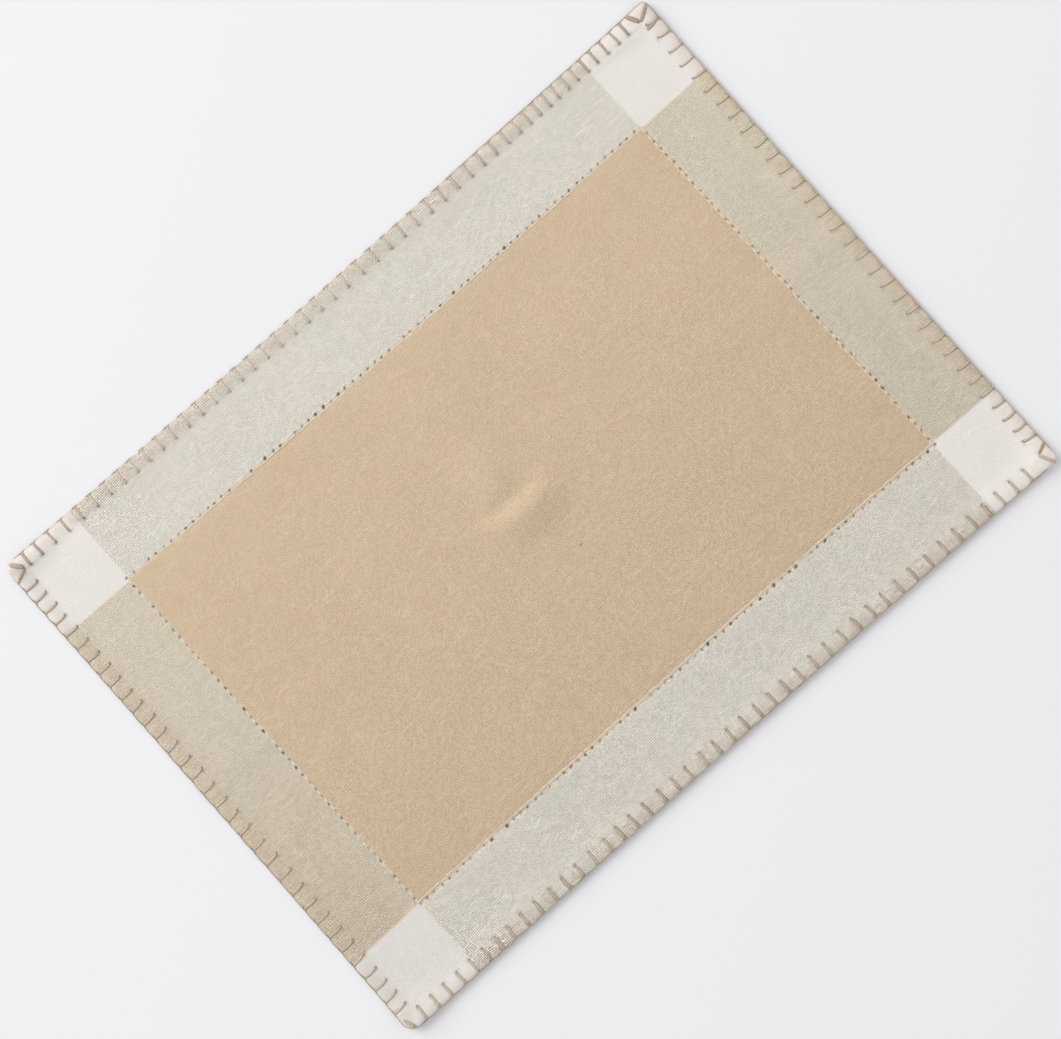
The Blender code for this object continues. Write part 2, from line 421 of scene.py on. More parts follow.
@dataclass(frozen=True)
class Lie:
    """How the worn cloth lies: its bowed outline, pucker, old fold and lifted corners and edges.

    edge_lifts is how far the front, right, back and left edge stand off the table.
    """

    length: float = 462.0
    width: float = 331.0
    row_s: float = 184.5
    row_t: float = 116.8
    lines_by_x: tuple[ThreadLine, ...] = (
        ThreadLine(-231.0, -232.65, -231.05, -230.45),
        ThreadLine(-184.5, -182.35, -183.85, -184.35),
        ThreadLine(184.5, 188.55, 185.45, 181.95),
        ThreadLine(231.0, 232.65, 230.55, 229.15),
    )
    lines_by_y: tuple[ThreadLine, ...] = (
        ThreadLine(-165.5, -166.55, -164.95, -166.25),
        ThreadLine(-116.8, -118.60, -115.65, -116.95),
        ThreadLine(116.8, 118.10, 116.05, 116.85),
        ThreadLine(165.5, 166.35, 164.85, 166.55),
    )
    waves: tuple[Wave, ...] = (
        Wave(171.0, 96.0, 0.09),
        Wave(-113.0, 61.0, 0.06),
        Wave(67.0, 143.0, 0.05),
    )
    ridge_x: float = -1.0
    ridge_y: float = 2.9
    ridge_bow: float = 9.0
    ridge_half_length: float = 34.0
    ridge_back: float = 10.2
    ridge_front: float = 20.0
    ridge_height: float = 3.7
    mound_x: float = -5.0
    mound_y: float = 23.8
    mound_half_length: float = 15.0
    mound_front: float = 10.8
    mound_back: float = 30.0
    mound_height: float = 2.2
    fold_y: float = 4.5
    fold_back: float = 9.0
    fold_front: float = 11.0
    fold_middle_height: float = 0.2
    fold_end_height: float = 0.7
    fold_fade: int = 4
    corner_reach: float = 34.0
    corner_lifts: tuple[tuple[int, int, float], ...] = (
        (1, -1, 0.5),
        (1, 1, 0.6),
        (-1, 1, 0.4),
        (-1, -1, 1.6),
    )
    edge_reach: float = 20.0
    edge_lifts: tuple[float, float, float, float] = (2.0, 1.3, 0.0, 0.0)
    swells: tuple[Swell, ...] = (
        Swell(-214.9, 159.0, 24.0, 9.0, 0.0, 1.5),
        Swell(208.0, 157.0, 22.0, 8.0, -12.0, 1.3),
    )

    @staticmethod
    def across_lines(lines: Sequence[ThreadLine], flat: float, along: float) -> float:
        """Read a real place between the two lines that a flat place lies between.

        Args:
            lines: The lines, in the order of their flat places.
            flat: The flat place.
            along: Where along the lines, from -1 to 1.

        Returns:
            The real place.
        """
        upper = 1
        while upper < len(lines) - 1 and flat > lines[upper].flat:
            upper += 1
        low, high = lines[upper - 1], lines[upper]
        share = (flat - low.flat) / (high.flat - low.flat)
        return low.at(along) * (1 - share) + high.at(along) * share

    def place(self, s: float, t: float) -> tuple[float, float]:
        """Find where a flat place really is.

        Args:
            s: The flat place along the mat.
            t: The flat place across the mat.

        Returns:
            The real place (x, y).
        """
        x = self.across_lines(self.lines_by_x, s, t / (self.width / 2))
        y = self.across_lines(self.lines_by_y, t, s / (self.length / 2))
        return x, y

    def pucker(self, x: float, y: float) -> float:
        """How far the pucker in the middle lifts the cloth.

        Args:
            x: The real place along the mat.
            y: The real place across the mat.

        Returns:
            Its height.
        """
        r = (x - self.ridge_x) / self.ridge_half_length
        offset = y - self.ridge_y - self.ridge_bow * r * r
        ridge = self.ridge_height * bell(r)
        ridge *= lopsided_bell(offset, self.ridge_front, self.ridge_back)
        mound = self.mound_height * bell((x - self.mound_x) / self.mound_half_length)
        return ridge + mound * lopsided_bell(y - self.mound_y, self.mound_front, self.mound_back)

    def fold(self, x: float, y: float) -> float:
        """How far the old fold lifts the cloth.

        Args:
            x: The real place along the mat.
            y: The real place across the mat.

        Returns:
            Its height.
        """
        share = min(abs(x) / self.row_s, 1.0) ** self.fold_fade
        height = self.fold_middle_height * (1 - share) + self.fold_end_height * share
        return height * lopsided_bell(y - self.fold_y, self.fold_front, self.fold_back)

    def corner(self, s: float, t: float) -> float:
        """How far a corner stands off the table.

        Args:
            s: The flat place along the mat.
            t: The flat place across the mat.

        Returns:
            Its height.
        """
        height = 0.0
        for across_x, across_y, lift in self.corner_lifts:
            gap = math.hypot(s - across_x * self.length / 2, t - across_y * self.width / 2)
            height += lift * bell(gap / self.corner_reach)
        return height

    def edge(self, s: float, t: float) -> float:
        """How far an edge that has curled up lifts the cloth.

        Args:
            s: The flat place along the mat.
            t: The flat place across the mat.

        Returns:
            Its height.
        """
        half_length, half_width = self.length / 2, self.width / 2
        gaps = (half_width + t, half_length - s, half_width - t, half_length + s)
        return sum(lift * bell(gap / self.edge_reach) for lift, gap in zip(self.edge_lifts, gaps))

    def wave(self, s: float, t: float) -> float:
        """How far the slow waves raise the face at a flat place."""
        turns = ((s / w.repeat_s + t / w.repeat_t, w.height) for w in self.waves)
        return sum(height * math.sin(2 * math.pi * turn) for turn, height in turns)

    def laid(self, s: float, t: float, height: float) -> Vector:
        """Lay a flat point down.

        Args:
            s: Its flat place along the mat.
            t: Its flat place across the mat.
            height: Its height over the table on a mat that lies quite flat.

        Returns:
            The real point.
        """
        x, y = self.place(s, t)
        height += self.pucker(x, y) + self.fold(x, y) + self.corner(s, t) + self.edge(s, t)
        return Vector((x, y, height + sum(swell.at(x, y) for swell in self.swells)))


# ---- Where the stitches are ----


@dataclass(frozen=True)
class EdgePlan:
    """One edge's stitching: how far they are apart at places along it, and how they are made.

    The pitches are pairs of a place along the edge and the pitch there. bulge is how far the
    edge swells between two stitches, hook how far a stitch's inner end turns aside, and
    leg_width the yarn's width where it lies on the hem. The tucks are pairs of a place along the
    edge and how far the yarn between two stitches slips under the edge there, from 0 to 1. dim
    is how dark it is between them, and needle_hole_shade how dark the cloth is where the needle went
    in. The fades are pairs of a place along the edge and how pale the yarn has gone there,
    worn_end how much paler it is at its inner end, lee how dark it is on its side away from the
    light, sunk how far it has sunk into the hem, and soil how much darker it is all over.
    edge_pale is how pale the yarn has gone where it runs along the edge.
    """

    edge: Edge
    half_run: float
    half_across: float
    pitches: tuple[tuple[float, float], ...]
    bulge: float
    hook: float
    leg_width: float
    dim: float
    needle_hole_shade: float
    fades: tuple[tuple[float, float], ...]
    worn_end: float
    edge_pale: float
    tucks: tuple[tuple[float, float], ...] = ((0, 0.0),)
    lee: float = 0.0
    sunk: float = 0.0
    soil: float = 0.0

    @staticmethod
    def read(pairs: Sequence[tuple[float, float]], along: float) -> float:
        """Read a value between the pairs of a place and its value.

        Args:
            pairs: The pairs, in order along the edge.
            along: The place along the edge.

        Returns:
            The value.
        """
        for (low, low_value), (high, high_value) in zip(pairs, pairs[1:]):
            if along <= high:
                share = max((along - low) / (high - low), 0.0)
                return low_value + share * (high_value - low_value)
        return pairs[-1][1]

    def pitch(self, along: float) -> float:
        """The pitch of the stitches at a place along the edge."""
        return self.read(self.pitches, along)

    def pale(self, along: float) -> float:
        """How pale the yarn has gone at a place along the edge."""
        return self.read(self.fades, along)

    def tuck(self, along: float) -> float:
        """How far the yarn slips under the edge at a place along it."""
        return self.read(self.tucks, along)

    def flat(self, along: float, inset: float) -> tuple[float, float]:
        """The flat place at a distance along the edge and an inset from it."""
        return self.edge.turned(along, inset - self.half_across)


@dataclass(frozen=True)
class CornerLeg:
    """A stitch made by hand at a corner.

    Each end is given by how far back it is from the corner along the edge that ends there, and
    by its inset from that edge.
    """

    outer_back: float
    outer_inset: float
    inner_back: float
    inner_inset: float
    width: float = 2.0
    shade: float = 0.0


@dataclass(frozen=True)
class CornerPlan:
    """The corner that ends an edge: its radius, its bulk, whether its purl shows, and its legs."""

    radius: float
    bulk: float
    purl_shows: bool
    legs: tuple[CornerLeg, ...]


@dataclass(frozen=True)
class Stitch:
    """One stitch of an edge: where it is, and how this one turned out."""

    along: float
    gap: float
    lean: float
    reach: float
    puff: float
    tone: float


@dataclass(frozen=True)
class StitchPlan:
    """Where every stitch of the hem is, as uneven as hand sewing leaves them."""

    half_length: float = 231.0
    half_width: float = 165.5
    spread: float = 0.5
    seed: int = 7
    look_seed: int = 23
    lean: float = 0.7
    reach_least: float = 8.3
    reach_most: float = 9.5
    puff_least: float = 0.6
    puff_most: float = 1.3

    def edges(self) -> tuple[EdgePlan, ...]:
        """Plan the four edges.

        Returns:
            Their plans, in their order round the mat.
        """
        long_side, short_side = self.half_length, self.half_width
        return (
            EdgePlan(
                Edge.FRONT, long_side, short_side,
                pitches=((-219.5, 8.9), (-180, 8.9), (-150, 10.2), (-60, 9.7), (60, 10.1),
                         (140, 10.6), (211, 9.6)),
                bulge=0.35, hook=0.3, leg_width=2.2, dim=0.08, needle_hole_shade=0.8,
                fades=((-190, 0.3), (-180, 0.0), (180, 0.0), (190, 0.35)),
                worn_end=0.25, edge_pale=0.65, sunk=0.08, soil=0.06,
            ),
            EdgePlan(
                Edge.RIGHT, short_side, long_side,
                pitches=((-147, 8.2), (-120, 8.6), (-100, 10.0), (0, 10.3), (90, 9.9), (153, 8.5)),
                bulge=0.3, hook=-1.2, leg_width=1.6, dim=0.05, needle_hole_shade=0.4,
                fades=((-120, 0.4), (-108, 0.45), (110, 0.45), (120, 0.75)),
                worn_end=0.1, edge_pale=0.75, tucks=((0, 0.1),), lee=0.36,
            ),
            EdgePlan(
                Edge.BACK, long_side, short_side,
                pitches=((-212.5, 7.4), (-150, 7.2), (-120, 9.2), (-30, 10.2), (60, 9.7),
                         (140, 9.1), (198, 10.4), (218, 7.8)),
                bulge=0.25, hook=0.2, leg_width=1.9, dim=0.35, needle_hole_shade=1.0,
                fades=((-184, 0.0), (-172, 0.45), (-25, 0.5), (-12, 0.9), (60, 0.85),
                       (172, 0.75), (186, 0.0)),
                worn_end=0.2, edge_pale=0.5, sunk=0.2,
                tucks=((-100, 0.1), (-62, 0.9), (178, 0.9), (188, 0.3)),
            ),
            EdgePlan(
                Edge.LEFT, short_side, long_side,
                pitches=((-147.5, 8.0), (-110, 9.2), (-40, 9.6), (20, 10.2), (80, 10.4),
                         (125, 9.2), (151, 7.0)),
                bulge=0.3, hook=1.3, leg_width=1.6, dim=0.3, needle_hole_shade=0.4,
                fades=((-120, 0.5), (-110, 0.4), (110, 0.4), (120, 0.6)),
                worn_end=0.1, edge_pale=0.4, lee=0.36,
            ),
        )

    def corners(self) -> tuple[CornerPlan, ...]:
        """Plan the corner that ends each edge.

        Returns:
            Their plans, in the same order.
        """
        return (
            CornerPlan(4.0, 0.3, False,
                       (CornerLeg(3.8, 0.8, 7.8, 8.7),
                        CornerLeg(0.6, 12.5, 7.0, 9.6, 1.9, 0.22))),
            CornerPlan(3.5, 0.6, True,
                       (CornerLeg(12.0, 0.8, 13.5, 9.0, 2.0, 0.1),
                        CornerLeg(3.0, 1.2, 8.0, 9.0, 2.0, 0.1),
                        CornerLeg(0.8, 13.5, 7.5, 10.0, 2.6))),
            CornerPlan(6.0, 0.8, False,
                       (CornerLeg(4.0, 1.8, 9.2, 7.4, 2.6, 0.1),
                        CornerLeg(0.8, 12.2, 9.0, 8.4, 1.7, 0.15))),
            CornerPlan(8.0, 0.3, True, (CornerLeg(8.5, 2.3, 2.0, 4.8),)),
        )

    def stitches(self) -> list[list[Stitch]]:
        """Every stitch of every edge.

        Returns:
            A list for each edge, in the order of edges().
        """
        chance = random.Random(self.seed)
        look = random.Random(self.look_seed)
        made = []
        for plan in self.edges():
            places = self.places(plan, chance)
            gaps = [after - before for before, after in zip(places, places[1:])] + [0.0]
            made.append([self.stitch(place, gap, look) for place, gap in zip(places, gaps)])
        return made

    def places(self, plan: EdgePlan, chance: random.Random) -> list[float]:
        """Place the stitches along one edge, from its first pitch to its last.

        Args:
            plan: The edge.
            chance: What makes the pitch uneven.

        Returns:
            Their places along the edge.
        """
        first, last = plan.pitches[0][0], plan.pitches[-1][0]
        places = [float(first)]
        while places[-1] < last - self.spread:
            step = plan.pitch(places[-1]) + chance.uniform(-self.spread, self.spread)
            places.append(places[-1] + step)
        stretch = (last - first) / (places[-1] - first)
        return [first + (place - first) * stretch for place in places]

    def stitch(self, along: float, gap: float, look: random.Random) -> Stitch:
        """Make one stitch, with its own lean, reach, puff and tone.

        Args:
            along: Its place along the edge.
            gap: How far it is to the next one.
            look: What makes each its own.

        Returns:
            The stitch.
        """
        lean = look.uniform(-self.lean, self.lean)
        reach = look.uniform(self.reach_least, self.reach_most)
        puff = look.uniform(self.puff_least, self.puff_most)
        return Stitch(along, gap, lean, reach, puff, look.random())


# ---- The hem ----


@dataclass(frozen=True)
class HemRow:
    """A line round the hem, along the middle of the cloth's thickness.

    puffed is its height between two stitches and pressed under one, drawn_in how far a stitch
    draws it in, unrolled its inset on the cloth before the hem was folded, negative past the
    fold, and shade the painted shade in the needle hole, where the needle went in.
    """

    inset: float
    puffed: float
    pressed: float
    drawn_in: float
    unrolled: float
    shade: float = 0.0


@dataclass(frozen=True)
class RimPoint:
    """A point of a hem row: its flat place and height, its cut place, and its painted shade."""

    s: float
    t: float
    height: float
    cut_s: float
    cut_t: float
    shade: float


@dataclass
class Hem:
    """The hem: the cloth folded to the back and tucked under, and drawn in by its stitches."""

    stitching: StitchPlan
    top_rows: tuple[HemRow, ...] = (
        HemRow(12.0, 0.95, 0.95, 0.0, 12.0),
        HemRow(10.6, 1.06, 1.00, 0.0, 10.6),
        HemRow(9.6, 1.14, 1.02, 0.0, 9.6, 0.35),
        HemRow(8.8, 1.24, 0.98, 0.0, 8.8, 0.8),
        HemRow(7.9, 1.38, 1.20, 0.0, 7.9, 0.15),
        HemRow(6.4, 1.60, 1.42, 0.1, 6.4),
        HemRow(4.8, 1.78, 1.58, 0.2, 4.8),
        HemRow(3.3, 1.84, 1.62, 0.3, 3.3),
        HemRow(2.1, 1.70, 1.48, 0.4, 2.1),
        HemRow(1.3, 1.48, 1.28, 0.5, 1.2),
        HemRow(0.85, 1.14, 1.08, 0.6, 0.5),
    )
    under_rows: tuple[HemRow, ...] = (
        HemRow(0.85, 0.74, 0.82, 0.6, -0.2),
        HemRow(1.3, 0.44, 0.68, 0.5, -1.0),
        HemRow(3.2, 0.33, 0.72, 0.2, -3.0),
        HemRow(5.8, 0.33, 0.70, 0.0, -5.6),
        HemRow(7.7, 0.33, 0.62, 0.0, -7.5),
        HemRow(8.3, 0.52, 0.66, 0.0, -8.4),
        HemRow(7.7, 0.85, 0.88, 0.0, -9.2),
        HemRow(4.4, 0.88, 0.92, 0.0, -12.5),
    )
    stitch_shares: tuple[float, ...] = (0.0, 0.13, 0.34, 0.66, 0.87)
    end_shares: tuple[float, ...] = (0.12, 0.35)
    press_width: float = 1.5
    bulge_reach: float = 6.0
    puff_share: float = 0.6
    thick_reach: float = 9.0
    corner_steps: int = 8
    least_radius: float = 0.9
    bulk_reach: float = 31.0
    dent_width: float = 1.1
    dent_depth: float = 0.4
    plans: tuple[EdgePlan, ...] = field(init=False)
    corners: tuple[CornerPlan, ...] = field(init=False)
    stitches: list[list[Stitch]] = field(init=False)

    def __post_init__(self) -> None:
        """Read the stitching once."""
        self.plans = self.stitching.edges()
        self.corners = self.stitching.corners()
        self.stitches = self.stitching.stitches()

    def pressed_top(self, inset: float) -> float:
        """Height of the middle of the cloth on the face, under a stitch.

        Args:
            inset: How far in from the edge.

        Returns:
            The height.
        """
        rows = self.top_rows
        for inner, outer in zip(rows, rows[1:]):
            if inset >= outer.inset:
                share = (min(inset, inner.inset) - outer.inset) / (inner.inset - outer.inset)
                return outer.pressed + share * (inner.pressed - outer.pressed)
        return rows[-1].pressed

    def edge_points(self, side: int, row: HemRow) -> list[RimPoint]:
        """Points of one row along an edge, from its first stitch to its last.

        Args:
            side: Which edge, in the order of the plans.
            row: The row.

        Returns:
            The row's points.
        """
        plan, stitches = self.plans[side], self.stitches[side]
        first, last = stitches[0], stitches[-1]
        lead = first.along + self.straight_half(side, row, side - 1)
        tail = self.straight_half(side, row, side) - last.along
        points = [self.edge_point(plan, row, first, -share * lead, 0.0)
                  for share in reversed(self.end_shares)]
        for stitch, after in zip(stitches, stitches[1:]):
            for share in self.stitch_shares:
                near = stitch if share < 0.5 else after
                distance = (share if share < 0.5 else share - 1) * stitch.gap
                points.append(self.edge_point(plan, row, near, distance, math.sin(math.pi * share)))
        points.append(self.edge_point(plan, row, last, 0.0, 0.0))
        return points + [self.edge_point(plan, row, last, share * tail, 0.0)
                         for share in self.end_shares]

    def straight_half(self, side: int, row: HemRow, corner: int) -> float:
        """How far a row runs straight from an edge's middle towards a corner."""
        radius = max(self.corners[corner].radius - row.inset, self.least_radius)
        return self.plans[side].half_run - row.inset - radius

    def edge_point(
        self, plan: EdgePlan, row: HemRow, near: Stitch, distance: float, swell: float
    ) -> RimPoint:
        """One point of a row along an edge.

        Args:
            plan: The edge.
            row: The row.
            near: The stitch nearest to the point.
            distance: How far the point is past that stitch.
            swell: How much of the edge's bulge it has, from 0 to 1.

        Returns:
            The point.
        """
        press = math.exp(-((distance / self.press_width) ** 2))
        inset = row.inset + press * row.drawn_in * near.puff
        inset -= max(plan.bulge * swell * (1 - row.inset / self.bulge_reach), 0.0) * near.puff
        height = row.puffed * (1 - press) + row.pressed * press
        height += (row.puffed - row.pressed) * (near.puff - 1) * (1 - press) * self.puff_share
        s, t = plan.flat(near.along + distance, inset)
        cut_s, cut_t = plan.flat(near.along + distance, row.unrolled)
        # Painted shade in the needle hole, strongest under the stitch.
        return RimPoint(s, t, height, cut_s, cut_t, row.shade * plan.needle_hole_shade * press**2)

    def corner_points(self, side: int, row: HemRow) -> list[RimPoint]:
        """Points of one row round the corner that ends an edge.

        Args:
            side: The edge that ends there.
            row: The row.

        Returns:
            The row's points.
        """
        plan, corner = self.plans[side], self.corners[side]
        points = []
        for step in range(self.corner_steps + 1):
            angle = math.pi / 2 * step / self.corner_steps
            s, t = self.corner_flat(plan, corner.radius, row.inset, angle)
            cut_s, cut_t = self.corner_flat(plan, corner.radius, row.unrolled, angle)
            points.append(RimPoint(s, t, row.puffed, cut_s, cut_t, 0.0))
        return points

    def corner_flat(
        self, plan: EdgePlan, radius: float, inset: float, angle: float
    ) -> tuple[float, float]:
        """A flat place round a corner.

        Args:
            plan: The edge that ends there.
            radius: The corner's radius at its fold.
            inset: How far in from the fold.
            angle: How far round the corner, in radians.

        Returns:
            The flat place (s, t).
        """
        turn = max(radius - inset, self.least_radius)
        along = plan.half_run - inset - turn + turn * math.sin(angle)
        return plan.flat(along, inset + turn - turn * math.cos(angle))

    def ring(self, row: HemRow) -> list[RimPoint]:
        """Go once round a row, anticlockwise from the front edge's first stitch.

        Args:
            row: The row.

        Returns:
            All of its points.
        """
        points = []
        for side in range(len(self.plans)):
            points += self.edge_points(side, row) + self.corner_points(side, row)
        return points

    def leg_ends(self, side: int, leg: CornerLeg) -> tuple[Vector, Vector]:
        """Find the ends of a corner stitch.

        Args:
            side: The edge that ends at the corner.
            leg: The stitch.

        Returns:
            Its flat outer and inner end.
        """
        plan = self.plans[side]
        outer = plan.flat(plan.half_run - leg.outer_back, leg.outer_inset)
        inner = plan.flat(plan.half_run - leg.inner_back, leg.inner_inset)
        return Vector(outer), Vector(inner)

    def bulk(self, s: float, t: float) -> float:
        """How much thicker the hem is near a corner, where its layers cross.

        Args:
            s: The flat place along the mat.
            t: The flat place across the mat.

        Returns:
            How much thicker, as a share.
        """
        share = 0.0
        for plan, corner in zip(self.plans, self.corners):
            tip = Vector(plan.flat(plan.half_run, 0.0))
            share += corner.bulk * bell((Vector((s, t)) - tip).length / self.bulk_reach)
        return share

    def dent(self, s: float, t: float) -> float:
        """How far the corner stitches press the hem down.

        Args:
            s: The flat place along the mat.
            t: The flat place across the mat.

        Returns:
            The depth.
        """
        deepest = 0.0
        for side, corner in enumerate(self.corners):
            for leg in corner.legs:
                outer, inner = self.leg_ends(side, leg)
                run = inner - outer
                spot = Vector((s, t))
                share = max(0.0, min(1.0, (spot - outer).dot(run) / run.length_squared))
                gap = (spot - outer - share * run).length / self.dent_width
                deepest = max(deepest, self.dent_depth * math.exp(-gap * gap))
        return deepest


# ---- The drawn-thread rows ----


@dataclass(frozen=True)
class Hole:
    """A hole of a drawn-thread row: its grid place, centre, size and tilt, and how strong the painted
    shade in it is.
    """

    column: int
    row: int
    s: float
    t: float
    half_long: float
    half_short: float
    tilt: float
    dark: float


@dataclass
class DrawnRows:
    """The four drawn-thread rows round the middle panel, and the grid that carries them."""

    lie: Lie
    pitch: float = 5.2
    margin: float = 13.0
    seed: int = 41
    slip_along: float = 0.7
    slip_across: float = 0.35
    back_shift: float = 0.35
    closed_below: float = 0.07
    small_below: float = 0.25
    large_above: float = 0.86
    small_size: float = 0.75
    large_size: float = 1.3
    size_range: tuple[float, float] = (0.88, 1.12)
    hole_shade_range: tuple[float, float] = (0.6, 0.95)
    long_row_half: tuple[float, float] = (0.82, 0.55)
    short_row_half: tuple[float, float] = (0.68, 0.44)
    long_row_tilts: tuple[float, float] = (10, 55)
    short_row_tilts: tuple[float, float] = (60, 110)

    def lines(self, half: float, row: float) -> list[float]:
        """Grid lines across the mat, with one through every hole and between every two.

        Args:
            half: Half the mat's size.
            row: Where the drawn-thread row is.

        Returns:
            The lines, in order.
        """
        inside = 2 * round(2 * row / self.pitch)
        step = 2 * row / inside
        outside = round((half - self.margin - row) / step)
        border = [row + (half - self.margin - row) * (i + 1) / outside for i in range(outside)]
        middle = [-row + step * i for i in range(inside + 1)]
        return [-x for x in border[::-1]] + middle + border

    def columns(self) -> list[float]:
        """The grid's lines of even s."""
        return self.lines(self.lie.length / 2, self.lie.row_s)

    def rows(self) -> list[float]:
        """The grid's lines of even t."""
        return self.lines(self.lie.width / 2, self.lie.row_t)

    def holes(self) -> list[Hole]:
        """Every hole of the four rows. Some are large, and a few have closed up.

        Returns:
            The holes, row by row.
        """
        chance = random.Random(self.seed)
        columns, rows = self.columns(), self.rows()
        left, right = (self.nearest(columns, side * self.lie.row_s) for side in (-1, 1))
        front, back = (self.nearest(rows, side * self.lie.row_t) for side in (-1, 1))
        made = []
        for j in (front, back):
            for i in range(left, right + 1, 2):
                made += self.hole(chance, i, j, columns[i], rows[j], True)
        for i in (left, right):
            for j in range(front + 2, back, 2):
                made += self.hole(chance, i, j, columns[i], rows[j], False)
        return made

    def hole(
        self, chance: random.Random, column: int, row: int, s: float, t: float, lengthwise: bool
    ) -> list[Hole]:
        """Draw one hole, as it turned out.

        Args:
            chance: What makes each its own.
            column: Its grid line of even s.
            row: Its grid line of even t.
            s: Where it is along the mat.
            t: Where it is across the mat.
            lengthwise: Whether its row runs the mat's long way.

        Returns:
            The hole, or nothing where it has closed up.
        """
        kind = chance.random()
        if kind < self.closed_below:
            return []
        is_large = kind > self.large_above
        size = self.large_size if is_large else self.small_size if kind < self.small_below else 1.0
        size *= chance.uniform(*self.size_range)
        # How strong the painted shade in the hole is.
        dark = 1.0 if is_large else chance.uniform(*self.hole_shade_range)
        along = chance.uniform(-self.slip_along, self.slip_along)
        across = chance.uniform(-self.slip_across, self.slip_across)
        half_long, half_short = self.long_row_half if lengthwise else self.short_row_half
        tilts = self.long_row_tilts if lengthwise else self.short_row_tilts
        tilt = math.radians(chance.uniform(*tilts))
        if lengthwise:
            s += along
            t += across + (self.back_shift if t > 0 else 0.0)
        else:
            s += across
            t += along
        return [Hole(column, row, s, t, half_long * size, half_short * size, tilt, dark)]

    @staticmethod
    def nearest(lines: Sequence[float], place: float) -> int:
        """The number of the grid line nearest to a place."""
        return min(range(len(lines)), key=lambda i: abs(lines[i] - place))

    def sunk(self, s: float, t: float) -> float:
        """How near a flat place is to a row.

        Args:
            s: The flat place along the mat.
            t: The flat place across the mat.

        Returns:
            0 away from the rows, 1 on one.
        """
        on_end = bell((abs(s) - self.lie.row_s) / self.pitch) if abs(t) <= self.lie.row_t else 0
        on_side = bell((abs(t) - self.lie.row_t) / self.pitch) if abs(s) <= self.lie.row_s else 0
        return max(on_end, on_side)


# ---- Finishes ----


@dataclass(frozen=True)
class ThreadPair:
    """The colours of the threads that run along X and along Y in one panel."""

    along_x: Colour
    along_y: Colour


@dataclass(frozen=True)
class Fleck:
    """A thick or dark place in one thread: where it is, its half sizes, and how dark it is."""

    s: float
    t: float
    half_length: float
    half_width: float
    darkness: float


@dataclass(frozen=True)
class Place:
    """Any place (s, t) on the cloth, as a material's graph reads it, and how the cloth lies."""

    graph: Graph
    s: Number
    t: Number
    lie: Lie


@dataclass(frozen=True)
class Drift:
    """Noise that wanders over the cloth.

    reach_s and reach_t are how far it takes to change, strength how much it counts, start what
    sets it apart from other noise, and detail how many finer octaves it has.
    """

    reach_s: float
    reach_t: float
    strength: float = 1.0
    start: float = 0.0
    detail: float = 0.0

    def noise(self, at: Place) -> Number:
        """The noise itself, around 0.5."""
        x = at.s / self.reach_s + self.start if self.start else at.s / self.reach_s
        return at.graph.noise(x, at.t / self.reach_t, self.detail)

    def swing(self, at: Place) -> Number:
        """The noise around 0, by its strength."""
        return (self.noise(at) - 0.5) * self.strength


@dataclass(frozen=True)
class Weave:
    """What the weave is at a place: its threads, and what makes each unlike the next.

    dome is how high the crossing stands, over which thread is on top, and the rest noise.
    """

    dome: Number
    over: Number
    along_x: Number
    along_y: Number
    slub: Number
    grain: Number


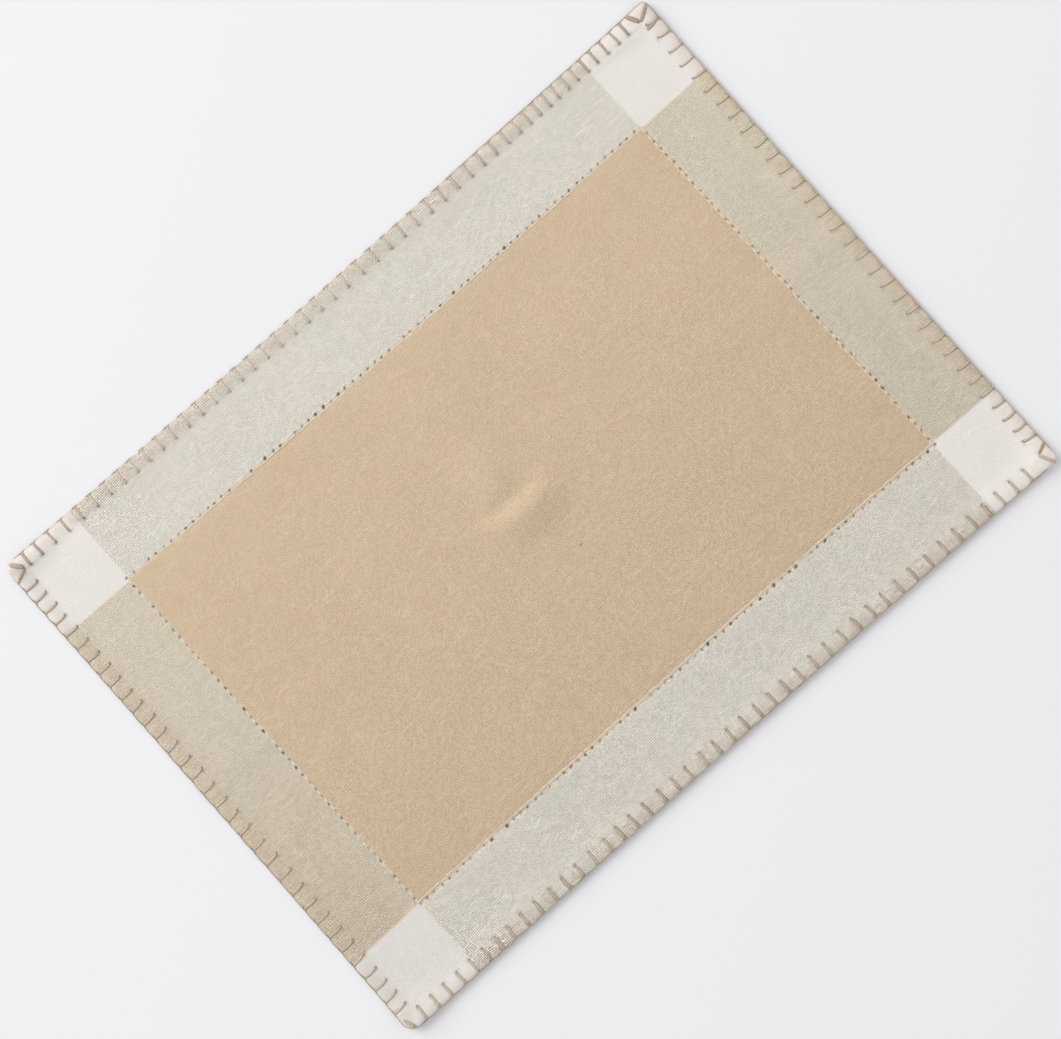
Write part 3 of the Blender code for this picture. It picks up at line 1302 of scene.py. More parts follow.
@dataclass(frozen=True)
class WovenFinish:
    """Plain-woven linen in four colourings, with slubs and flecks, and painted shade in its holes and
    needle holes.
    """

    pitch_x: float = 1.08
    pitch_y: float = 1.00
    column_drifts: tuple[Drift, ...] = (
        Drift(23, 60, 1.3), Drift(6, 9, 0.5), Drift(2.3, 3.1, 0.42),
    )
    row_drifts: tuple[Drift, ...] = (
        Drift(70, 21, 1.3), Drift(9, 6, 0.5), Drift(3.1, 2.3, 0.42, 90),
    )
    thread_reach: float = 24.0
    thread_step: float = 1.37
    slub_reach: float = 13.0
    slub_step: float = 0.83
    slub_start: float = 300.0
    slub_rise: tuple[float, float] = (0.66, 0.76)
    middle: ThreadPair = ThreadPair((0.664, 0.512, 0.345, 1), (0.632, 0.482, 0.322, 1))
    long_border: ThreadPair = ThreadPair((0.724, 0.678, 0.592, 1), (0.682, 0.636, 0.548, 1))
    short_border: ThreadPair = ThreadPair((0.631, 0.556, 0.430, 1), (0.668, 0.594, 0.465, 1))
    corner: ThreadPair = ThreadPair((0.832, 0.796, 0.732, 1), (0.807, 0.768, 0.704, 1))
    stripes_s: tuple[float, float] = (-184.3, 185.0)
    stripes_t: tuple[float, float] = (-116.6, 117.3)
    outer_stripes_s: tuple[float, float] = (-184.0, 183.6)
    outer_stripes_t: tuple[float, float] = (-115.05, 115.55)
    stripe_blur: float = 0.8
    stripe_lean: float = 0.0013
    corner_blur: float = 0.5
    cream: Colour = (0.88, 0.83, 0.70, 1)
    pinker: tuple[float, float, float] = (1.009, 0.996, 0.998)
    greener: tuple[float, float, float] = (0.991, 1.004, 1.0)
    hem_wash: Colour = (0.60, 0.46, 0.315, 1)
    fold_darkening: Colour = (0.49, 0.39, 0.28, 1)
    # Painted shade: the dark colour painted into the holes and needle holes.
    painted_hole_shade: Colour = (0.085, 0.065, 0.035, 1)
    cream_share: float = 0.26
    tone_drift: Drift = Drift(30, 22, start=70, detail=1)
    tone_rise: tuple[float, float] = (0.3, 0.7)
    tone_middle: float = 0.4
    tone_border: float = 0.6
    roughness: float = 0.92
    relief: float = 0.2
    dome: float = 0.57
    dome_mean: float = 0.405
    grain: float = 0.15
    crepe: Drift = Drift(1.15, 0.95, 0.46, detail=1)
    patches: Drift = Drift(3.4, 2.6, 0.03, detail=1)
    clouds: Drift = Drift(55, 40, 0.06, detail=2)
    unlike_threads: float = 0.05
    slub_light: float = 0.06
    weave_light: float = 0.30
    weave_tint: float = 0.43
    hem_bold_from: tuple[float, float] = (10, 6)
    back_bold_to: float = 12
    border_boldness: float = 0.52
    end_boldness: float = 0.28
    hem_boldness: float = 0.8
    back_boldness: float = 0.4
    bold_light: float = 0.065
    front_boldness: float = 0.0017
    corner_calm: float = 1.3
    # Painted shade: the cloth darker towards the front and lighter towards the back, as the light
    # falls off.
    front_shade: float = 0.00036
    # Painted light: the front right corner lighter.
    corner_painted_light: float = 0.08
    corner_painted_light_s: tuple[float, float] = (100, 180)
    corner_painted_light_t: tuple[float, float] = (-90, -115)
    # Painted light: the front long border lighter, taking back part of the painted front shade.
    front_border_painted_light: float = 0.035
    front_border_painted_light_t: tuple[float, float] = (0, -110)
    row_breaks: Drift = Drift(2.7, 1.6, 0.6)
    row_break_rise: tuple[float, float] = (0.25, 0.6)
    row_least: float = 0.4
    row_knots: Drift = Drift(1.9, 1.7)
    row_knot_rise: tuple[float, float] = (0.42, 0.6)
    row_inner: tuple[float, float] = (-1.4, -0.9)
    row_outer: tuple[float, float] = (2.3, 1.0)
    row_past: float = 1.5
    short_row_reach: tuple[float, float] = (1.9, 0.9)
    right_row_more: float = 0.6
    hem_patches: Drift = Drift(9, 9, 0.8, detail=1)
    hem_least: float = 0.2
    hem_end_from: tuple[float, float] = (11, 5)
    hem_side_from: tuple[float, float] = (11, 4)
    hem_end_share: float = 0.55
    hem_side_share: float = 0.36
    hem_corner_share: float = 0.55
    brown_s: tuple[float, float] = (-178, -200)
    brown_t: tuple[float, float] = (20, -90)
    brown_share: float = 0.42
    fold_back_from: tuple[float, float] = (2.4, 0.4)
    fold_left_from: tuple[float, float] = (2.0, 0.4)
    fold_left_share: float = 0.6
    fold_share: float = 0.5
    fleck_rise: tuple[float, float] = (1.6, 0.2)
    dome_relief: float = 0.7
    slub_relief: float = 0.4
    thread_relief: float = 0.3
    grain_relief: float = 0.3
    flecks: tuple[Fleck, ...] = (
        Fleck(8.4, -30.7, 1.1, 0.45, 0.55),
        Fleck(51.0, -13.3, 0.9, 0.4, 0.3),
        Fleck(19.5, -51.5, 0.9, 0.4, 0.3),
        Fleck(-166.0, -3.5, 0.9, 0.4, 0.3),
    )
    stains: tuple[Fleck, ...] = (
        Fleck(-226.5, 159.0, 5.0, 4.0, 0.38),
        Fleck(-184.0, 161.5, 4.5, 4.5, 0.3),
    )

    def panel_colour(self, at: Place, side: Number, end: Number, way: str) -> Tint:
        """The colour of one set of threads in each panel.

        Args:
            at: The place.
            side: 1 in the long borders and the corners.
            end: 1 in the short borders and the corners.
            way: Which set of threads, as ThreadPair names it.

        Returns:
            The threads' colour.
        """
        middle, long_border = getattr(self.middle, way), getattr(self.long_border, way)
        short_border, corner = getattr(self.short_border, way), getattr(self.corner, way)
        inner = at.graph.mixed(middle, long_border, side)
        return inner.blended(at.graph.mixed(short_border, corner, side), end)

    def material(self, lie: Lie) -> bpy.types.Material:
        """Make the cloth's material.

        Args:
            lie: How the cloth lies.

        Returns:
            The material.
        """
        graph = Graph("linen")
        at = Place(graph, *graph.uv("threads"), lie)
        weave = self.weave(at)
        side, end = self.panels(at)
        bold = self.boldness(at, side, end)
        relief = self.contrast(at, weave) * bold
        light = self.light(at, relief, bold, side, end)
        colour = self.dyed(at, weave, side, end).scaled(light)
        colour = colour.plus(relief * self.weave_tint)
        # Painted shade in the holes and needle holes, by the shade attribute.
        colour = colour.blended(self.painted_hole_shade, graph.attribute("shade"))
        height = weave.dome * self.dome_relief + weave.slub * self.slub_relief
        height = height + weave.along_x * self.thread_relief + weave.grain * self.grain_relief
        return graph.finish(colour, self.roughness, height * bold, self.relief)

    def weave(self, at: Place) -> Weave:
        """Lay the threads, each a little out of line.

        Args:
            at: The place.

        Returns:
            The weave at the place.
        """
        graph, s, t = at.graph, at.s, at.t
        u, v = s / self.pitch_y, t / self.pitch_x
        for drift in self.column_drifts:
            u = u + drift.noise(at) * drift.strength
        for drift in self.row_drifts:
            v = v + drift.noise(at) * drift.strength
        column, row = u.floor(), v.floor()
        slub = graph.noise(s / self.slub_reach, row * self.slub_step + self.slub_start)
        return Weave(
            dome=((u - column) * math.pi).sine() * ((v - row) * math.pi).sine(),
            over=((column + row) * 0.5).fraction() * 2,
            along_x=graph.noise(s / self.thread_reach, row * self.thread_step),
            along_y=graph.noise(column * self.thread_step, t / self.thread_reach),
            slub=slub.rise(*self.slub_rise),
            grain=graph.speckle(column, row),
        )

    def panels(self, at: Place) -> tuple[Number, Number]:
        """Find the panel that a place is in.

        Args:
            at: The place.

        Returns:
            1 in the long borders and the corners, and 1 in the short borders and the corners.
        """
        s, t, lie, blur = at.s, at.t, at.lie, self.corner_blur
        past_ends = abs(s).rise(lie.row_s - blur, lie.row_s + blur)
        past_sides = abs(t).rise(lie.row_t - blur, lie.row_t + blur)
        outer_side = self.beyond(t - s * self.stripe_lean, self.outer_stripes_t)
        side = self.beyond(t, self.stripes_t) * (1 - past_ends) + outer_side * past_ends
        outer_end = self.beyond(s, self.outer_stripes_s)
        end = self.beyond(s, self.stripes_s) * (1 - past_sides) + outer_end * past_sides
        return side, end

    def dyed(self, at: Place, weave: Weave, side: Number, end: Number) -> Tint:
        """Colour the threads, wash and stain them, and darken the hem's fold.

        Args:
            at: The place.
            weave: The weave there.
            side: 1 in the long borders and the corners.
            end: 1 in the short borders and the corners.

        Returns:
            The colour.
        """
        paint_x = self.panel_colour(at, side, end, "along_x")
        paint_y = self.panel_colour(at, side, end, "along_y")
        colour = paint_y.blended(paint_x, weave.over)
        drift = self.tone_drift.noise(at).rise(*self.tone_rise) - 0.5
        drift = drift * (side.at_least(end) * self.tone_border + self.tone_middle) + 0.5
        colour = colour.tinted(self.greener).blended(colour.tinted(self.pinker), drift)
        colour = colour.blended(self.cream, self.row_band(at) * self.cream_share)
        colour = colour.blended(self.hem_wash, self.hem_band(at))
        colour = colour.blended(self.hem_wash, 1 - self.spotted(at, self.stains))
        return colour.blended(self.fold_darkening, self.fold_band(at))

    def boldness(self, at: Place, side: Number, end: Number) -> Number:
        """How bold the weave is.

        Args:
            at: The place.
            side: 1 in the long borders and the corners.
            end: 1 in the short borders and the corners.

        Returns:
            Its boldness, 1 in the middle panel and more in the borders.
        """
        bold = 1 + side * self.border_boldness + end * self.end_boldness
        bold = bold - side * end * self.corner_calm
        t, row_t, half = at.t, at.lie.row_t, at.lie.width / 2
        far, near = self.hem_bold_from
        on_hem = abs(t).rise(half - far, half - near) * (1 - end)
        back = side * (1 - end) * t.rise(row_t, half - self.back_bold_to)
        bold = bold + on_hem * self.hem_boldness + back * self.back_boldness
        return bold * (1 - t * self.front_boldness)

    def contrast(self, at: Place, weave: Weave) -> Number:
        """How light or dark the threads make a place.

        Args:
            at: The place.
            weave: The weave there.

        Returns:
            The lightness, around 0.
        """
        thread = weave.along_x * weave.over + weave.along_y * (1 - weave.over)
        made = (weave.dome - self.dome_mean) * self.dome + (weave.grain - 0.5) * self.grain
        made = made + self.crepe.swing(at)
        made = made + (thread - 0.5) * self.unlike_threads + weave.slub * self.slub_light
        return made + self.patches.swing(at)

    def light(
        self, at: Place, relief: Number, bold: Number, side: Number, end: Number
    ) -> Number:
        """How light the cloth is.

        Args:
            at: The place.
            relief: How light or dark the threads make it.
            bold: How bold the weave is.
            side: 1 in the long borders and the corners.
            end: 1 in the short borders and the corners.

        Returns:
            The lightness, as a factor.
        """
        s, t, cloudy = at.s, at.t, self.clouds.swing(at)
        # The last factor is painted shade, darker towards the front as the light falls off.
        light = (relief * self.weave_light + 1) * (cloudy + 1) * (t * self.front_shade + 1)
        light = light * self.spotted(at, self.flecks) * ((bold - 1) * self.bold_light + 1)
        # Painted light at the front right corner and along the front long border.
        lit_corner = side * end * s.rise(*self.corner_painted_light_s) * t.rise(*self.corner_painted_light_t)
        light = light * (lit_corner * self.corner_painted_light + 1)
        front = side * (1 - end) * t.rise(*self.front_border_painted_light_t)
        return light * (front * self.front_border_painted_light + 1)

    def beyond(self, place: Number, stripes: tuple[float, float]) -> Number:
        """Whether a place is past either of two stripe edges.

        Args:
            place: The place across the stripes.
            stripes: The two edges.

        Returns:
            0 or 1, with a short change between.
        """
        blur = self.stripe_blur
        return place.rise(stripes[0] + blur, stripes[0] - blur).at_least(
            place.rise(stripes[1] - blur, stripes[1] + blur)
        )

    def row_band(self, at: Place) -> Number:
        """Where the cream threads of the drawn rows lie.

        Args:
            at: The place.

        Returns:
            How much they show, from 0 to 1.
        """
        s, t, lie = at.s, at.t, at.lie
        from_row = abs(t) - lie.row_t
        from_panel = from_row + t.rise(1, -1)
        broken = self.row_breaks.noise(at).rise(*self.row_break_rise) * self.row_breaks.strength
        broken = broken + self.row_least
        long_rows = from_panel.rise(*self.row_inner) * from_row.rise(*self.row_outer)
        long_rows = long_rows * abs(s).rise(lie.row_s + self.row_past, lie.row_s)
        from_end = abs(abs(s) - lie.row_s)
        spotty = self.row_knots.noise(at).rise(*self.row_knot_rise)
        short_rows = from_end.rise(*self.short_row_reach)
        short_rows = short_rows * abs(t).rise(lie.row_t + self.row_past, lie.row_t) * spotty
        short_rows = short_rows * (s.rise(-1, 1) * self.right_row_more + self.row_least)
        return (long_rows * broken).at_least(short_rows)

    def hem_band(self, at: Place) -> Number:
        """How strongly the hem is tinted by use.

        Args:
            at: The place.

        Returns:
            The strength, from 0 to 1.
        """
        s, t, lie = at.s, at.t, at.lie
        end = abs(s).rise(*(lie.length / 2 - gap for gap in self.hem_end_from))
        side = abs(t).rise(*(lie.width / 2 - gap for gap in self.hem_side_from))
        patchy = self.hem_patches.noise(at).rise(*self.tone_rise)
        in_corner = abs(s).rise(lie.row_s, lie.row_s + 1) * abs(t).rise(lie.row_t, lie.row_t + 1)
        browner = s.rise(*self.brown_s) * t.rise(*self.brown_t)
        browner = browner * abs(t).rise(lie.row_t, lie.row_t - 1) * self.brown_share
        band = (end * self.hem_end_share).at_least(side * self.hem_side_share)
        band = band * (patchy * self.hem_patches.strength + self.hem_least)
        band = band * (1 - in_corner * self.hem_corner_share)
        return band.at_least(browner)

    def fold_band(self, at: Place) -> Number:
        """How much darker the hem's fold is at the back and left edges.

        Args:
            at: The place.

        Returns:
            The strength, from 0 to 1.
        """
        half_length, half_width = at.lie.length / 2, at.lie.width / 2
        back = at.t.rise(*(half_width - gap for gap in self.fold_back_from))
        left = at.s.rise(*(gap - half_length for gap in self.fold_left_from))
        return back.at_least(left * self.fold_left_share) * self.fold_share

    def spotted(self, at: Place, flecks: Sequence[Fleck]) -> Number:
        """How much flecks darken the cloth.

        Args:
            at: The place.
            flecks: The flecks.

        Returns:
            The lightness, as a factor.
        """
        light: Amount = 1.0
        for fleck in flecks:
            far_s = (at.s - fleck.s) / fleck.half_length
            far_t = (at.t - fleck.t) / fleck.half_width
            inside = (far_s * far_s + far_t * far_t).rise(*self.fleck_rise)
            light = light - inside * fleck.darkness
        return light


@dataclass(frozen=True)
class YarnFinish:
    """Soft two-ply yarn: plies that wind round it, a tone for each stitch, and faded places."""

    name: str
    pale: Colour
    dark: Colour
    worn: Colour
    ply_length: float
    ply_depth: float
    # The colour that the shade attribute blends in: painted shade on the yarn's side away from the
    # light and at its inner ends where it dives into the cloth, and the yarn's darker places along the
    # purl, the legs and the corner stitches.
    deep: Colour = (0.19, 0.12, 0.06, 1)
    dark_share: float = 0.15
    tone_share: float = 0.5
    drift_share: float = 0.8
    lightness: float = 0.86
    ply_light: float = 0.18
    fuzz_light: float = 0.30
    ply_relief: float = 0.7
    fuzz_relief: float = 0.5
    roughness: float = 0.95
    sheen: float = 0.1

    def material(self) -> bpy.types.Material:
        """Make the yarn's material. Its UV map holds the way round it and the length along.

        Returns:
            The material.
        """
        graph = Graph(self.name)
        around, along = graph.uv("yarn")
        tone = graph.attribute("tone")
        ply = ((around * 2 + along / self.ply_length) * (2 * math.pi)).sine() * 0.5 + 0.5
        fuzz = graph.noise(around * 5, along * 1.7 + tone * 40, 2.0)
        drift = graph.noise(along / 4, tone * 90)
        share = tone * self.tone_share + (drift - 0.5) * self.drift_share + self.dark_share
        colour = graph.mixed(self.pale, self.dark, share.at_least(0.0).at_most(1.0))
        colour = colour.blended(self.worn, graph.attribute("pale"))
        light = self.lightness + ply * self.ply_light + (fuzz - 0.5) * self.fuzz_light
        colour = colour.scaled(light)
        # Painted shade and darker places of the yarn, by the shade attribute.
        colour = colour.blended(self.deep, graph.attribute("shade"))
        height = ply * self.ply_relief + fuzz * self.fuzz_relief
        return graph.finish(colour, self.roughness, height, self.ply_depth, self.sheen)


@dataclass(frozen=True)
class FloorFinish:
    """Plain pale paper."""

    colour: Colour = (0.885, 0.884, 0.885, 1)
    roughness: float = 0.85

    def material(self) -> bpy.types.Material:
        """Make the floor's material."""
        return Graph("pale_paper").finish(self.colour, self.roughness)


# ---- Pieces ----


def made_piece(name: str, mesh: bmesh.types.BMesh, material: bpy.types.Material) -> bpy.types.Object:
    """Turn a mesh in millimetres into a smooth-shaded object in metres.

    Args:
        name: The piece's name.
        mesh: Its mesh, which is freed.
        material: Its material.

    Returns:
        The new object.
    """
    bmesh.ops.scale(mesh, vec=(METRES, METRES, METRES), verts=mesh.verts)
    bmesh.ops.recalc_face_normals(mesh, faces=mesh.faces)
    data = bpy.data.meshes.new(name)
    mesh.to_mesh(data)
    mesh.free()
    data.shade_smooth()
    data.materials.append(material)
    piece = bpy.data.objects.new(name, data)
    bpy.context.scene.collection.objects.link(piece)
    return piece


def bake_modifiers(piece: bpy.types.Object) -> None:
    """Apply every modifier of a piece, in order.

    Args:
        piece: The piece.
    """
    bpy.ops.object.select_all(action="DESELECT")
    piece.select_set(True)
    bpy.context.view_layer.objects.active = piece
    for modifier in list(piece.modifiers):
        bpy.ops.object.modifier_apply(modifier=modifier.name)


@dataclass
class Cloth:
    """The one sheet of cloth: its middle, its drawn-thread rows and its folded hem."""

    lie: Lie
    hem: Hem
    drawn: DrawnRows
    finish: WovenFinish
    thickness: float = 0.5
    middle_height: float = 0.95
    row_depth: float = 0.22
    collar: float = 0.5
    waist_share: float = 0.14
    waist_depth: float = 0.31

    def build(self) -> bpy.types.Object:
        """Make the cloth, lay it down and give it its thickness.

        Returns:
            The finished piece.
        """
        mesh = bmesh.new()
        self.cut_s = mesh.verts.layers.float.new("cut_s")
        self.cut_t = mesh.verts.layers.float.new("cut_t")
        # The shade attribute holds painted shade for the holes and the needle holes.
        self.shade = mesh.verts.layers.float.new("shade")
        border = self.draw_middle(mesh)
        inner_loop = self.draw_hem(mesh)
        bmesh.ops.triangle_fill(mesh, use_beauty=True, edges=border + inner_loop)
        self.map_threads(mesh)
        for vert in mesh.verts:
            vert.co = self.lie.laid(*vert.co)
        cloth = made_piece("woven_cloth", mesh, self.finish.material(self.lie))
        self.face_up(cloth)
        solid = cloth.modifiers.new("thickness", "SOLIDIFY")
        solid.thickness = self.thickness * METRES
        solid.offset = 0.0
        bake_modifiers(cloth)
        return cloth

    def height(self, s: float, t: float) -> float:
        """Height of the middle of the cloth inside the hem."""
        sunk = self.row_depth * self.drawn.sunk(s, t)
        return self.middle_height + self.lie.wave(s, t) - sunk

    def spot(self, mesh: bmesh.types.BMesh, s: float, t: float, height: float, shade: float
             ) -> bmesh.types.BMVert:
        """Add a vertex of the flat cloth, with its cut place and its painted shade.

        Args:
            mesh: The cloth's mesh.
            s: The flat place along the mat.
            t: The flat place across the mat.
            height: Its height.
            shade: How much painted shade it carries.

        Returns:
            The vertex.
        """
        vert = mesh.verts.new((s, t, height))
        vert[self.cut_s], vert[self.cut_t] = s, t
        vert[self.shade] = shade
        return vert

    def draw_middle(self, mesh: bmesh.types.BMesh) -> list[bmesh.types.BMEdge]:
        """Draw the cloth inside the hem, with its holes.

        Args:
            mesh: The cloth's mesh.

        Returns:
            The edges round it.
        """
        columns, rows = self.drawn.columns(), self.drawn.rows()
        holes = {(hole.column, hole.row): hole for hole in self.drawn.holes()}
        verts = {}
        for i, s in enumerate(columns):
            for j, t in enumerate(rows):
                if (i, j) not in holes:
                    verts[i, j] = self.spot(mesh, s, t, self.height(s, t), 0.0)
        for i in range(len(columns) - 1):
            for j in range(len(rows) - 1):
                cell = [(i, j), (i + 1, j), (i + 1, j + 1), (i, j + 1)]
                if all(place in verts for place in cell):
                    mesh.faces.new([verts[place] for place in cell])
        for hole in holes.values():
            self.draw_hole(mesh, verts, hole)
        last_i, last_j = len(columns) - 1, len(rows) - 1
        around = [(i, 0) for i in range(last_i)] + [(last_i, j) for j in range(last_j)]
        around += [(i, last_j) for i in range(last_i, 0, -1)]
        around += [(0, j) for j in range(last_j, 0, -1)]
        loop = [verts[place] for place in around]
        return [mesh.edges.get(pair) for pair in zip(loop, loop[1:] + loop[:1])]

    def draw_hole(
        self, mesh: bmesh.types.BMesh, verts: dict[tuple[int, int], bmesh.types.BMVert], hole: Hole
    ) -> None:
        """Fill the four cells round a hole with rings that run down into it.

        Args:
            mesh: The cloth's mesh.
            verts: The grid's vertices, by column and row.
            hole: The hole.
        """
        steps = ((1, 0), (1, 1), (0, 1), (-1, 1), (-1, 0), (-1, -1), (0, -1), (1, -1))
        ring = [verts[hole.column + i, hole.row + j] for i, j in steps]
        surface = self.height(hole.s, hole.t)
        # Painted shade on the rings inside the hole, strongest at its waist.
        levels = (
            (self.collar, 1.0, -0.02, 0.0),
            (0.0, 1.0, -0.12, 0.75),
            (0.0, self.waist_share, -self.waist_depth, 1.0),
        )
        for collar, share, rise, shade in levels:
            inner = []
            for i, j in steps:
                angle = math.atan2(j, i) - hole.tilt
                long_way = (hole.half_long * share + collar) * math.cos(angle)
                short_way = (hole.half_short * share + collar) * math.sin(angle)
                s = hole.s + long_way * math.cos(hole.tilt) - short_way * math.sin(hole.tilt)
                t = hole.t + long_way * math.sin(hole.tilt) + short_way * math.cos(hole.tilt)
                inner.append(self.spot(mesh, s, t, surface + rise, shade * hole.dark))
            for k, (outer_vert, inner_vert) in enumerate(zip(ring, inner)):
                after = (k + 1) % len(steps)
                mesh.faces.new((outer_vert, ring[after], inner[after], inner_vert))
            ring = inner

    def draw_hem(self, mesh: bmesh.types.BMesh) -> list[bmesh.types.BMEdge]:
        """Draw the hem from its inner line, round the fold and under.

        Args:
            mesh: The cloth's mesh.

        Returns:
            The edges of its inner line.
        """
        loops = []
        for row in self.hem.top_rows + self.hem.under_rows:
            on_roll = row in self.hem.top_rows and row.inset < self.hem.thick_reach
            loop = []
            for point in self.hem.ring(row):
                height = point.height
                if on_roll:
                    height *= 1 + self.hem.bulk(point.s, point.t)
                    height -= self.hem.dent(point.s, point.t)
                vert = self.spot(mesh, point.s, point.t, height, point.shade)
                vert[self.cut_s], vert[self.cut_t] = point.cut_s, point.cut_t
                loop.append(vert)
            loops.append(loop)
        for outer, inner in zip(loops, loops[1:]):
            for k in range(len(outer)):
                after = (k + 1) % len(outer)
                mesh.faces.new((outer[k], outer[after], inner[after], inner[k]))
        first = loops[0]
        return [mesh.edges.get(pair) for pair in zip(first, first[1:] + first[:1])]

    def map_threads(self, mesh: bmesh.types.BMesh) -> None:
        """Write the cut places into the UV map that the weave follows.

        Args:
            mesh: The cloth's mesh.
        """
        threads = mesh.loops.layers.uv.new("threads")
        for face in mesh.faces:
            for corner in face.loops:
                corner[threads].uv = (corner.vert[self.cut_s], corner.vert[self.cut_t])

    @staticmethod
    def face_up(cloth: bpy.types.Object) -> None:
        """Turn the open sheet so that its face points up.

        Args:
            cloth: The cloth, before it has its thickness.
        """
        highest = max(cloth.data.polygons, key=lambda face: face.area)
        if highest.normal.z < 0:
            cloth.data.flip_normals()


@dataclass(frozen=True)
class Spot:
    """A point on a strand: its flat place and height, its width and thickness, and its looks.

    shade is how dark it is, pale how far it has faded, and lee how dark it is on its side away
    from the light.
    """

    s: float
    t: float
    height: float
    width: float
    thick: float
    shade: float = 0.0
    pale: float = 0.0
    lee: float = 0.0


@dataclass
class Strands:
    """Many short strands of yarn or thread, made as one piece."""

    lie: Lie
    around: int = 6
    mesh: bmesh.types.BMesh = field(default_factory=bmesh.new)

    def __post_init__(self) -> None:
        """Give the mesh its UV map and what its finish reads at each vertex."""
        self.tone = self.mesh.verts.layers.float.new("tone")
        self.pale = self.mesh.verts.layers.float.new("pale")
        self.shade = self.mesh.verts.layers.float.new("shade")
        self.yarn = self.mesh.loops.layers.uv.new("yarn")

    def lay(
        self, spots: Sequence[Spot], tone: float, level: Optional[Vector] = None, ring: bool = False
    ) -> None:
        """Lay one strand.

        Args:
            spots: The points that it follows.
            tone: Its own tone, from 0 to 1.
            level: The way that its width lies, if it isn't square to its run.
            ring: Whether its end joins its start.
        """
        centres = [self.lie.laid(spot.s, spot.t, spot.height) for spot in spots]
        rings, lengths, length = [], [], tone * 50
        across = Vector((1.0, 0.0, 0.0))
        for i, spot in enumerate(spots):
            before = centres[i - 1] if i or ring else centres[i]
            after = centres[(i + 1) % len(spots)] if ring or i + 1 < len(spots) else centres[i]
            ahead = (after - before).normalized()
            turned = ahead.cross(UP)
            across = level or (turned.normalized() if turned.length > 0.15 else across)
            upward = across.cross(ahead).normalized()
            rings.append(self.section(centres[i], across, upward, spot, tone))
            length += (centres[i] - before).length
            lengths.append(length)
        if ring:
            rings.append(rings[0])
            lengths.append(length + (centres[0] - centres[-1]).length)
        for first, second, start, end in zip(rings, rings[1:], lengths, lengths[1:]):
            self.skin(first, second, start, end)
        if not ring:
            self.mesh.faces.new(rings[0])
            self.mesh.faces.new(rings[-1])

    def section(
        self, centre: Vector, across: Vector, upward: Vector, spot: Spot, tone: float
    ) -> list[bmesh.types.BMVert]:
        """Add the vertices round a strand at one of its points.

        Args:
            centre: The strand's middle there.
            across: The way its width lies.
            upward: The way its thickness lies.
            spot: The point.
            tone: The strand's tone.

        Returns:
            The vertices, in order round it.
        """
        made = []
        for k in range(self.around):
            angle = 2 * math.pi * k / self.around
            offset = across * (math.cos(angle) * spot.width / 2)
            offset = offset + upward * (math.sin(angle) * spot.thick / 2)
            # Painted shade on the side away from the light.
            away = max(-offset.normalized().y, 0.0)
            vert = self.mesh.verts.new(centre + offset)
            vert[self.tone], vert[self.pale] = tone, spot.pale
            vert[self.shade] = min(spot.shade + spot.lee * away * away, 1.0)
            made.append(vert)
        return made

    def skin(
        self,
        first: Sequence[bmesh.types.BMVert],
        second: Sequence[bmesh.types.BMVert],
        start: float,
        end: float,
    ) -> None:
        """Join two sections with faces, and map them.

        Args:
            first: The section at the start.
            second: The section at the end.
            start: The strand's length up to the first.
            end: Its length up to the second.
        """
        for k in range(self.around):
            after = (k + 1) % self.around
            face = self.mesh.faces.new((first[k], first[after], second[after], second[k]))
            places = ((k, start), (k + 1, start), (k + 1, end), (k, end))
            for corner, (turn, along) in zip(face.loops, places):
                corner[self.yarn].uv = (turn / self.around, along)


